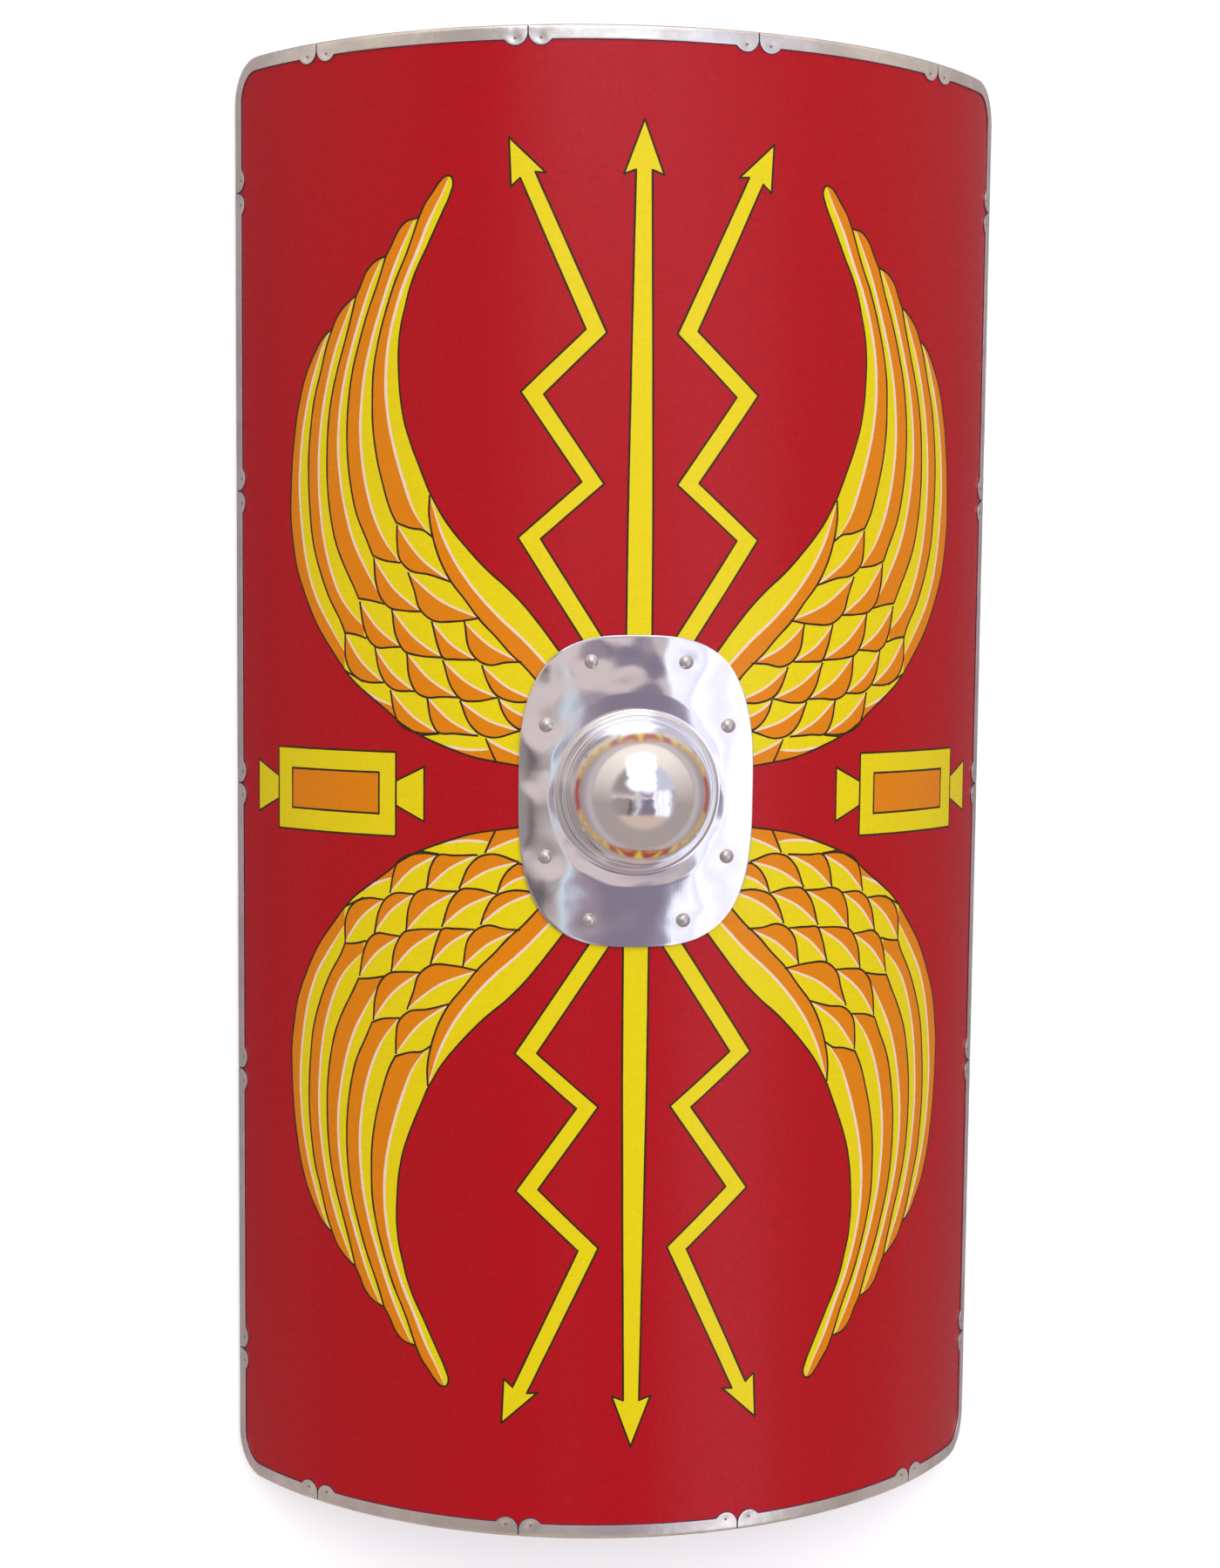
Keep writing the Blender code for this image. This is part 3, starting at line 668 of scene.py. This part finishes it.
# Dark edge sheet. A thin dark sheet laid round the board's edge under the binding. It shows as a
# fine dark line along the binding's inner edge, and as painted shade in the binding's joints.
DARK_SHEET = 0.00015
DARK_SHEET_SHOWS = 0.00045
bm = bmesh.new()
rows = []
for start, end in zip(joints, joints[1:]):
    length = end - start - JOINT_GAP
    for on in binding_stops(length):
        reach = leg_depth(on, length, DARK_SHEET_SHOWS)
        along = start + JOINT_GAP / 2 + on
        section = [(reach, DARK_SHEET), (reach / 2, DARK_SHEET), (0, DARK_SHEET), (-DARK_SHEET, 0)]
        section += [(-DARK_SHEET, -BOARD_THICKNESS), (0, -BOARD_THICKNESS - DARK_SHEET), (reach, -BOARD_THICKNESS - DARK_SHEET)]
        rows.append([bm.verts.new(on_board(*edge_point(along, depth), level)) for depth, level in section])
for a, b in zip(rows, rows[1:] + rows[:1]):
    for i in range(len(a) - 1):
        bm.faces.new((a[i], a[i + 1], b[i + 1], b[i]))
bmesh.ops.recalc_face_normals(bm, faces=bm.faces)
dark_sheet_mesh = finished(bm, "dark_edge_sheet")
face_outward(dark_sheet_mesh, on_board(0, BOARD_HEIGHT / 2 - WELL_IN, WELL_BELOW))
dark_sheet = new_piece("dark_edge_sheet", dark_sheet_mesh)
give_wall(dark_sheet, DARK_SHEET * 0.9)
# dark colour for the fine line along the binding and for the painted shade in its joints
edge_line_and_joint_shade, shader, add, join = node_graph("dark_edge_line_and_joint_shade")
grit = clouds(add, add("TexCoord").outputs["Object"], 500.0, 3.0)
join(two_tone(add, grit, (0.012, 0.012, 0.045), (0.050, 0.045, 0.110)), "Base Color")
join(bumps(add, grit, 0.3, 0.0002), "Normal")
shader.inputs["Roughness"].default_value = 0.5
dark_sheet.data.materials.append(edge_line_and_joint_shade)

# Binding nails. Thirty-six small flat-headed steel nails, one through the middle of each ear, tapped
# level with the sheet and left as small dark dimples.
NAIL_RADIUS = 0.0011
NAIL_FLATNESS = 0.45
NAIL_SUNK = 0.00045


def nail_places():
    """The middle of each ear, round the edge."""
    for start, end in zip(joints, joints[1:]):
        for along in (start + JOINT_GAP / 2 + EAR_RADIUS, end - JOINT_GAP / 2 - EAR_RADIUS):
            yield edge_point(along, NAIL_DEPTH)


def lean_at(s, y, level):
    """Stands a piece upright on the board's curve at this place and level."""
    return Matrix.Translation(on_board(s, y, level)) @ Matrix.Rotation(s / FRONT_RADIUS, 4, "Y")


nails = bmesh.new()
for s, y in nail_places():
    head = bmesh.ops.create_uvsphere(nails, u_segments=12, v_segments=8, radius=NAIL_RADIUS)["verts"]
    bmesh.ops.scale(nails, vec=(1, 1, NAIL_FLATNESS), verts=head)
    bmesh.ops.transform(nails, matrix=lean_at(s, y, BINDING_OUT - NAIL_SUNK), verts=head)
nail_mesh = finished(nails, "binding_nails")
nail_mesh.shade_smooth()
dull, shader, add, join = node_graph("dull_nail_steel")
shader.inputs["Metallic"].default_value = 1.0
shader.inputs["Base Color"].default_value = (0.34, 0.31, 0.29, 1)
shader.inputs["Roughness"].default_value = 0.45
rust = clouds(add, add("TexCoord").outputs["Object"], 900.0)
join(bumps(add, rust, 0.3, 0.0002), "Normal")
nail_mesh.materials.append(dull)
new_piece("binding_nails", nail_mesh)

# Boss. One sheet of polished steel raised by hand over a form: a rounded plate bent to the board,
# a low ring, and a domed bowl for the fist. Held by eight rivets.
BOSS_SHEET = 0.0015
PLATE_WIDTH = 0.166
PLATE_HEIGHT = 0.218
PLATE_ROUNDNESS = 3.0
RING_RADIUS = 0.0565
RING_HEIGHT = 0.0045
RING_FOOT = 0.0026
DOME_RADIUS = 0.050
DOME_HEIGHT = 0.065
PLATE_LEVEL = 0.0003 + BOSS_SHEET
BOSS_TURNS = 144
PLATE_RINGS = 30
HAMMER_DEPTH = 0.0004
PLATE_LIFT, PLATE_HOLLOWS, PLATE_MARKS = 0.0005, 0.0009, 0.0003
FLAT_ROUND_RIVET = 0.013
RIVET_SPOTS = (("outer", 0.033, 0.0905), ("side", 0.064, 0.046))


def boss_profile():
    """Radius and level of the boss from its top down to where the flat plate starts."""
    middle = DOME_HEIGHT - DOME_RADIUS
    turns = [pi / 2 * i / 36 for i in range(1, 37)]
    points = [(DOME_RADIUS * sin(turn), middle + DOME_RADIUS * cos(turn)) for turn in turns]
    groove = RING_HEIGHT - 0.0012
    points.append((DOME_RADIUS, groove + RING_FOOT))
    for turn in (pi / 2 * i / 6 for i in range(1, 7)):
        points.append((DOME_RADIUS + RING_FOOT * (1 - cos(turn)), groove + RING_FOOT * (1 - sin(turn))))
    inner, crest, outer = DOME_RADIUS + RING_FOOT, RING_RADIUS - 0.0018, RING_RADIUS + 0.0012
    for i in range(1, 7):
        share = (1 - cos(pi * i / 6)) / 2
        points.append((inner + (crest - inner) * i / 6, groove + (RING_HEIGHT - groove) * share))
    for i in range(1, 11):
        share = (1 + cos(pi * i / 10)) / 2
        points.append((crest + (outer - crest) * i / 10, PLATE_LEVEL + (RING_HEIGHT - PLATE_LEVEL) * share))
    return points


def boss_point(r, level, turn, flat):
    """Place of a boss point. The dome stands up straight, and the plate follows the board."""
    x, y = r * cos(turn), r * sin(turn) + BOSS_ABOVE_MIDDLE
    share = min(1, max(0, (DOME_HEIGHT - level) / (DOME_HEIGHT - RING_HEIGHT)))
    drop = FRONT_RADIUS - sqrt(FRONT_RADIUS**2 - x * x)
    upright = Vector((x, y, AXIS_Z + FRONT_RADIUS + level - drop * share))
    return upright.lerp(on_board(x, y, level), flat)


def plate_reach(turn):
    """How far the plate reaches from its middle in this direction."""
    across = (abs(cos(turn)) / (PLATE_WIDTH / 2)) ** PLATE_ROUNDNESS
    up = (abs(sin(turn)) / (PLATE_HEIGHT / 2)) ** PLATE_ROUNDNESS
    return (across + up) ** (-1 / PLATE_ROUNDNESS)


# the dome and its ring, with shallow hammer marks that fade out at the dome's foot and top
bm = bmesh.new()
apex = bm.verts.new(boss_point(0, DOME_HEIGHT, 0, 0))
rings = []
outline = boss_profile()
for r, level in outline:
    flat = min(1, max(0, (r - DOME_RADIUS) / (RING_RADIUS - DOME_RADIUS)))
    ring = []
    for i in range(BOSS_TURNS):
        turn = 2 * pi * i / BOSS_TURNS
        marks = noise.noise((r * cos(turn) * 26, r * sin(turn) * 26, level * 26))
        beaten = HAMMER_DEPTH * (0.5 + 0.5 * marks)
        beaten *= min(1, max(0, (level - RING_HEIGHT) / 0.015)) * min(1, r / 0.006)
        ring.append(bm.verts.new(boss_point(r * (1 - beaten / DOME_RADIUS), level - beaten, turn, flat)))
    rings.append(ring)

# the plate, beaten a little uneven but flatter round each rivet
start = outline[-1][0]
for step in range(1, PLATE_RINGS + 1):
    ring = []
    for i in range(BOSS_TURNS):
        turn = 2 * pi * i / BOSS_TURNS
        reach = plate_reach(turn)
        r = start + (reach - start) * step / PLATE_RINGS
        x, y = r * cos(turn), r * sin(turn)
        hollows, marks = noise.noise((x * 17, y * 26, 3.0)), noise.noise((x * 45, y * 45, 7.0))
        beaten = PLATE_LIFT + PLATE_HOLLOWS * hollows + PLATE_MARKS * marks
        for _, rivet_x, rivet_y in RIVET_SPOTS:
            away = hypot(abs(x) - rivet_x, abs(y) - rivet_y)
            beaten *= 1 - 0.8 * exp(-((away / FLAT_ROUND_RIVET) ** 2))
        lift = max(0.0001, beaten) * min(1, step / 6)
        ring.append(bm.verts.new(boss_point(r, PLATE_LEVEL + lift, turn, 1)))
    rings.append(ring)
for i in range(BOSS_TURNS):
    j = (i + 1) % BOSS_TURNS
    bm.faces.new((apex, rings[0][i], rings[0][j]))
    for a, b in zip(rings, rings[1:]):
        bm.faces.new((a[i], b[i], b[j], a[j]))
boss_shell = new_piece("boss_shell", finished(bm, "boss_shell"), "boss")
give_wall(boss_shell, BOSS_SHEET, rounding=0.0005, segments=3, sharp=radians(60))


def polished_steel():
    """Polished sheet steel, brightest on the plate and the dome's top, with hammer marks and scratches."""
    material, shader, add, join = node_graph("polished_boss_steel")
    place = add("TexCoord").outputs["Object"]
    foot = AXIS_Z + FRONT_RADIUS
    height = add("SeparateXYZ", {0: place}).outputs["Z"]
    height = spread(add, height, foot, foot + DOME_HEIGHT)
    haze = add("ValToRGB", {"Fac": height})
    for at, rough in ((0.10, 0.085), (0.22, 0.20), (0.60, 0.20), (0.85, 0.10)):
        element = haze.color_ramp.elements.new(at)
        element.color = (rough, rough, rough, 1)
    haze.color_ramp.elements[0].color = (0.085, 0.085, 0.085, 1)
    haze.color_ramp.elements[-1].color = (0.09, 0.09, 0.09, 1)
    cloud = clouds(add, place, 26.0, 3.0)
    uneven = spread(add, cloud, 0.3, 0.7, -0.02, 0.03)
    join(summed(add, haze.outputs["Color"], uneven), "Roughness")
    shader.inputs["Metallic"].default_value = 1.0
    shader.inputs["Base Color"].default_value = (0.86, 0.85, 0.87, 1)
    long = add("Mapping", {"Vector": place, "Rotation": (0, 0, 0.5), "Scale": (1, 0.05, 1)}).outputs[0]
    scratches = clouds(add, long, 1500.0)
    fine = bumps(add, scratches, 0.06, 0.0001)
    planish = clouds(add, place, 45.0, 1.0)
    beaten = {"Strength": 0.20, "Distance": 0.0012, "Height": planish, "Normal": fine}
    join(add("Bump", beaten).outputs[0], "Normal")
    return material


boss_shell.data.materials.append(polished_steel())

# Boss rivets. Eight round-headed steel rivets through the plate and the board, with their ends
# peened over behind. The heads are filed smooth and lightly polished.
RIVET_HEAD_RADIUS = 0.005
RIVET_HEAD_HEIGHT = 0.0032
RIVET_RIM = 0.0003
RIVET_SHANK_RADIUS = 0.002
PEENED_END = ((0.0033, 0), (0.0035, 0.0003), (0.0026, 0.0013), (0, 0.0014))


def turned(name, profile, steps):
    """Mesh turned about Z from its side view, radius and height, by the spin operator."""
    mesh = bpy.data.meshes.new(name)
    mesh.from_pydata([(r, 0, z) for r, z in profile], [(i, i + 1) for i in range(len(profile) - 1)], [])
    blank = bpy.data.objects.new(name, mesh)
    bpy.context.scene.collection.objects.link(blank)
    bpy.ops.object.select_all(action="DESELECT")
    bpy.context.view_layer.objects.active = blank
    blank.select_set(True)
    bpy.ops.object.mode_set(mode="EDIT")
    bpy.ops.mesh.select_all(action="SELECT")
    bpy.ops.mesh.spin(steps=steps, angle=2 * pi, center=(0, 0, 0), axis=(0, 0, 1))
    bpy.ops.mesh.select_all(action="SELECT")
    bpy.ops.mesh.remove_doubles(threshold=1e-6)
    bpy.ops.mesh.normals_make_consistent(inside=False)
    bpy.ops.object.mode_set(mode="OBJECT")
    bpy.data.objects.remove(blank)
    mesh.shade_smooth()
    mesh.set_sharp_from_angle(angle=radians(40))
    return mesh


seat = PLATE_LEVEL + 0.0003
back = -BOARD_THICKNESS - 0.0007
quarter_turn = [pi / 2 * i / 8 for i in range(9)]
rim = seat + RIVET_RIM
rivet = [(RIVET_HEAD_RADIUS * sin(a), rim + RIVET_HEAD_HEIGHT * cos(a)) for a in quarter_turn]
rivet += [(RIVET_HEAD_RADIUS, seat), (RIVET_SHANK_RADIUS, seat), (RIVET_SHANK_RADIUS, back)]
rivet += [(r, back - depth) for r, depth in PEENED_END]
rivet_mesh = turned("rivet", rivet, 28)
rivet_steel, shader, add, join = node_graph("rivet_steel")
place = add("TexCoord").outputs["Object"]
shader.inputs["Metallic"].default_value = 1.0
shader.inputs["Base Color"].default_value = (0.64, 0.61, 0.58, 1)
cloud = clouds(add, place, 300.0)
join(spread(add, cloud, 0.0, 1.0, 0.26, 0.42), "Roughness")
join(bumps(add, cloud, 0.25, 0.0003), "Normal")
for height, up in (("top", 1), ("bottom", -1)):
    for side, across in (("left", -1), ("right", 1)):
        for spot, x, y in RIVET_SPOTS:
            mesh = rivet_mesh.copy()
            mesh.transform(lean_at(across * x, up * y + BOSS_ABOVE_MIDDLE, 0))
            mesh.materials.append(rivet_steel)
            new_piece(f"boss_rivet_{height}_{side}_{spot}", mesh, f"rivet_{height}_{side}_{spot}")

# Grip. A bar of oiled ash across the hand hole, behind the board: level and rounded where the hand
# closes on it, with shoulders that rise to flat seats, screwed to the board at both ends.
BACK_RADIUS = FRONT_RADIUS - BOARD_THICKNESS
GRIP_END = 0.125
GRIP_WIDTH = 0.036
GRIP_THICKNESS = 0.028
GRIP_END_THICKNESS = 0.010
GRIP_HAND = 0.055
GRIP_SHOULDER = 0.014
GRIP_ROUNDING = 0.005
SEAT_ROUNDING = 0.0008
ROUNDING_FADES = (0.058, 0.006)
GRIP_LOW = AXIS_Z + sqrt(BACK_RADIUS**2 - GRIP_END**2) - GRIP_END_THICKNESS


def grip_section(x):
    """The bar's outline across its length at this place, from its lower right corner round."""
    seat = AXIS_Z + sqrt((BACK_RADIUS - 0.0003) ** 2 - x * x)
    rise = min(max(abs(x) - GRIP_HAND, 0), GRIP_SHOULDER)
    level = GRIP_LOW + GRIP_THICKNESS + GRIP_SHOULDER - sqrt(GRIP_SHOULDER**2 - rise**2)
    above = seat if abs(x) > GRIP_HAND + GRIP_SHOULDER else min(level, seat)
    end = min(max(abs(x) - (GRIP_END - GRIP_ROUNDING), 0), GRIP_ROUNDING)
    below = GRIP_LOW + GRIP_ROUNDING - sqrt(GRIP_ROUNDING**2 - end**2)
    fades_at, over = ROUNDING_FADES
    faded = max(SEAT_ROUNDING, GRIP_ROUNDING * (1 - (abs(x) - fades_at) / over))
    top_round = GRIP_ROUNDING if above < seat else faded
    half = GRIP_WIDTH / 2 - 0.35 * (GRIP_ROUNDING - sqrt(GRIP_ROUNDING**2 - end**2))
    corners = ((1, below, GRIP_ROUNDING, -pi / 2), (1, above, top_round, 0))
    corners += ((-1, above, top_round, pi / 2), (-1, below, GRIP_ROUNDING, pi))
    points = []
    for side, level, r, start in corners:
        r = min(r, (above - below) * 0.45)
        middle_y = side * (half - r) + BOSS_ABOVE_MIDDLE
        middle_z = level + r if level == below else level - r
        for step in range(7):
            turn = start + pi / 2 * step / 6
            points.append((x, middle_y + r * cos(turn), middle_z + r * sin(turn)))
    return points


# sections from the left end to the middle, closer together where the form changes, then mirrored
shoulder = GRIP_HAND + GRIP_SHOULDER
places = [-GRIP_END + GRIP_ROUNDING * (1 - cos(pi / 2 * i / 6)) for i in range(6)]
places += [-GRIP_END + GRIP_ROUNDING + 0.006 * i for i in range(9)] + [-shoulder - 0.0001]
places += [-shoulder + 0.002 * i for i in range(8)] + [-0.04, -0.02]
places += [0.0] + [-x for x in reversed(places)]
bm = bmesh.new()
rows = [[bm.verts.new(point) for point in grip_section(x)] for x in places]
for a, b in zip(rows, rows[1:]):
    for i in range(len(a)):
        bm.faces.new((a[i], a[(i + 1) % len(a)], b[(i + 1) % len(a)], b[i]))
bm.faces.new(rows[0][::-1])
bm.faces.new(rows[-1])
bmesh.ops.remove_doubles(bm, verts=bm.verts, dist=1e-6)
bmesh.ops.recalc_face_normals(bm, faces=bm.faces)
grip_mesh = finished(bm, "grip_bar")
grip_mesh.shade_smooth()
grip_mesh.set_sharp_from_angle(angle=radians(35))
ash, shader, add, join = node_graph("oiled_ash")
long = add("Mapping", {"Vector": add("TexCoord").outputs["Object"], "Scale": (0.7, 9, 9)}).outputs[0]
grain = clouds(add, long, 14.0, 6.0, roughness=0.62, distortion=0.8)
pores = clouds(add, long, 160.0)
mixed = summed(add, grain, pores)
wood = two_tone(add, spread(add, mixed, 0.7, 1.3), (0.17, 0.075, 0.026), (0.44, 0.24, 0.10))
join(wood, "Base Color")
shader.inputs["Roughness"].default_value = 0.42
join(bumps(add, mixed, 0.3, 0.0003), "Normal")
grip_mesh.materials.append(ash)
new_piece("grip_bar", grip_mesh, "grip")

# Grip screws. Four round-headed slotted steel screws, driven through the grip's ends from behind
# straight into the plywood.
SCREW_ACROSS = 0.111
SCREW_UP = 0.008
SCREW_SHANK_RADIUS = 0.0018
SCREW_HEAD_RADIUS = 0.004
SCREW_HEAD_HEIGHT = 0.0022
SCREW_SEAT = -0.0003
SLOT_SIZE = (0.010, 0.0009, 0.0022)
SLOT_LEVEL = -0.0027
tip = sqrt(BACK_RADIUS**2 - SCREW_ACROSS**2) + AXIS_Z - GRIP_LOW + 0.005
screw = [(0, tip), (SCREW_SHANK_RADIUS, tip - 2 * SCREW_SHANK_RADIUS), (SCREW_SHANK_RADIUS, SCREW_SEAT)]
screw += [(SCREW_HEAD_RADIUS * cos(a), SCREW_SEAT - SCREW_HEAD_HEIGHT * sin(a)) for a in quarter_turn]
screw_mesh = turned("grip_screw", screw, 28)
blank = bpy.data.objects.new("grip_screw", screw_mesh)
bpy.context.scene.collection.objects.link(blank)
bpy.ops.object.select_all(action="DESELECT")
bpy.ops.mesh.primitive_cube_add(size=1, location=(0, 0, SLOT_LEVEL))
slot_cutter = bpy.context.object
slot_cutter.scale = SLOT_SIZE
cut = blank.modifiers.new("slot", "BOOLEAN")
cut.operation, cut.object = "DIFFERENCE", slot_cutter
apply_modifiers(blank)
screw_mesh = blank.data
bpy.data.objects.remove(slot_cutter)
bpy.data.objects.remove(blank)
screw_mesh.shade_smooth()
screw_mesh.set_sharp_from_angle(angle=radians(35))
screw_mesh.materials.clear()
screw_mesh.materials.append(rivet_steel)
for side, across in (("left", -1), ("right", 1)):
    for height, up in (("upper", 1), ("lower", -1)):
        mesh = screw_mesh.copy()
        place = (across * SCREW_ACROSS, BOSS_ABOVE_MIDDLE + up * SCREW_UP, GRIP_LOW)
        slot_turn = Matrix.Rotation(0.6 * across * up + 0.5, 4, "Z")
        mesh.transform(Matrix.Translation(place) @ slot_turn)
        new_piece(f"screw_{side}_{height}", mesh, f"grip_screw_{side}_{height}")

# Camera, floor and soft studio light. The camera looks down on the shield from above its upper left
# part. The light is a large soft one overhead, and the room is there for the polished steel.
CAMERA_LENS = 54.501
CAMERA_PLACE = (-0.1917041, 0.1555698, AXIS_Z + FRONT_RADIUS + 1.6381599)
CAMERA_ROLL, CAMERA_PITCH, CAMERA_YAW = -0.0098269, 0.0864198, 0.1047896
SOFTBOX_PLACE = (0.15, 1.1, 2.8)
SOFTBOX_AIM = (0, 0.1, 0)
SOFTBOX_SIZE = 3.0
SOFTBOX_POWER = 38

camera_data = bpy.data.cameras.new("camera")
camera_data.lens, camera_data.sensor_width = CAMERA_LENS, 36.0
camera_data.clip_start, camera_data.clip_end = 0.05, 60
camera = bpy.data.objects.new("camera", camera_data)
bpy.context.scene.collection.objects.link(camera)
turn = Matrix.Rotation(CAMERA_ROLL, 3, "Z") @ Matrix.Rotation(CAMERA_PITCH, 3, "X")
turn = turn @ Matrix.Rotation(CAMERA_YAW, 3, "Y")
camera.matrix_world = Matrix.Translation(CAMERA_PLACE) @ turn.transposed().to_4x4()
bpy.context.scene.camera = camera

# the floor is white to the camera, and dimmer in reflections, most of all near the shield
bpy.ops.object.select_all(action="DESELECT")
bpy.ops.mesh.primitive_plane_add(size=14, location=(0, 0, 0))
floor = bpy.context.object
floor.name = "floor"
pale, shader, add, join = node_graph("pale_floor")
seen = add("LightPath").outputs["Is Camera Ray"]
far_off = add("VectorMath", {0: add("TexCoord").outputs["Object"]}, operation="LENGTH").outputs["Value"]
far_off = spread(add, far_off, 0.45, 1.1)
dim = add("Mix", {"Factor": far_off, 6: (0.34, 0.31, 0.32, 1), 7: (0.58, 0.53, 0.51, 1)}, data_type="RGBA")
tone = add("Mix", {"Factor": seen, 6: dim.outputs[2], 7: (0.93, 0.93, 0.93, 1)}, data_type="RGBA").outputs[2]
join(tone, "Base Color")
shader.inputs["Roughness"].default_value = 0.9
shader.inputs["Specular IOR Level"].default_value = 0.1
shader.inputs["Emission Color"].default_value = (1, 1, 1, 1)
join(add("Math", {0: seen, 1: 0.25}, operation="MULTIPLY").outputs[0], "Emission Strength")
floor.data.materials.append(pale)

# the room that the polished steel mirrors: a dim ceiling, a window at the right, a skylight and a lamp
# above the shield's head, and plain pale walls
bpy.context.scene.view_settings.view_transform = "Standard"
world = bpy.data.worlds.new("studio")
bpy.context.scene.world = world
world.use_nodes = True
add = wiring(world.node_tree)


def band(value, *stops):
    """Colours that change along a value from -1 to 1."""
    ramp = add("ValToRGB", {"Fac": spread(add, value, -1.0, 1.0)})
    while len(ramp.color_ramp.elements) < len(stops):
        ramp.color_ramp.elements.new(0.5)
    for element, (place, *colour) in zip(ramp.color_ramp.elements, stops):
        element.position, element.color = (place + 1) / 2, (*colour, 1)
    return ramp.outputs["Color"]


def over(low, high, share):
    """A colour laid over another by this share."""
    return add("Mix", {"Factor": share, 6: low, 7: high}, data_type="RGBA").outputs[2]


def rising(value, start, end):
    """A share that goes from 0 to 1 as a value goes from start to end."""
    return spread(add, value, start, end)


def where_both(first, second):
    """A share that holds where two shares hold."""
    return add("Math", {0: first, 1: second}, operation="MULTIPLY").outputs[0]


way = add("TexCoord").outputs["Generated"]
parts = add("SeparateXYZ", {0: way})
east, north, up = (parts.outputs[axis] for axis in "XYZ")
patches = clouds(add, way, 4.5)
uneven = add("Math", {0: patches, 1: 0.26, 2: -0.13}, operation="MULTIPLY_ADD").outputs[0]
shifted = summed(add, east, uneven)
slanted = summed(add, north, uneven)
ceiling = band(shifted, (-1.0, 0.42, 0.36, 0.35), (-0.40, 0.34, 0.29, 0.29), (-0.33, 0.12, 0.10, 0.11),
               (-0.24, 0.50, 0.43, 0.42), (-0.17, 0.70, 0.84, 0.95), (-0.13, 0.40, 0.31, 0.37),
               (-0.03, 0.25, 0.215, 0.28), (0.20, 0.26, 0.22, 0.30), (0.27, 0.36, 0.33, 0.43),
               (0.30, 1.25, 1.28, 1.45), (0.37, 0.85, 0.82, 1.1), (0.42, 1.4, 1.4, 1.5),
               (0.50, 1.0, 0.98, 1.2), (0.62, 1.3, 1.35, 1.5), (0.75, 0.50, 0.45, 0.54))
window_side = rising(shifted, 0.24, 0.30)
across_middle = where_both(rising(slanted, -0.06, -0.03), rising(north, 0.12, -0.01))
ceiling = over(over(ceiling, (0.74, 0.63, 0.62, 1), across_middle), ceiling, window_side)
ceiling = over(ceiling, (0.70, 0.54, 0.46, 1), rising(north, -0.46, -0.54))
ceiling = over(ceiling, (0.66, 0.66, 0.80, 1), where_both(rising(north, 0.12, 0.20), window_side))
sideways = add("Math", {0: shifted, 1: 0.06}, operation="ADD").outputs[0]
sideways = add("Math", {0: sideways}, operation="ABSOLUTE").outputs[0]
overhead = where_both(rising(sideways, 0.40, 0.30), rising(up, 0.25, 0.62))
skylight = where_both(overhead, rising(north, 0.10, 0.22))
roof_lamp = where_both(overhead, rising(north, 0.36, 0.46))
walls = over((0.44, 0.375, 0.36, 1), (1.10, 1.0, 0.90, 1), rising(north, -0.2, 0.9))
room = over(over(ceiling, walls, rising(up, 0.66, 0.52)), (1.6, 1.68, 1.95, 1), skylight)
room = over(room, (1.8, 1.8, 1.8, 1), roof_lamp)
world.node_tree.links.new(room, world.node_tree.nodes["Background"].inputs["Color"])

softbox = bpy.data.lights.new("overhead_softbox", "AREA")
softbox.shape, softbox.size, softbox.size_y = "RECTANGLE", SOFTBOX_SIZE, SOFTBOX_SIZE
softbox.energy = SOFTBOX_POWER
lamp = bpy.data.objects.new("overhead_softbox", softbox)
bpy.context.scene.collection.objects.link(lamp)
lamp.location = SOFTBOX_PLACE
lamp.rotation_euler = (Vector(SOFTBOX_AIM) - Vector(SOFTBOX_PLACE)).to_track_quat("-Z", "Y").to_euler()
lamp.visible_glossy = False
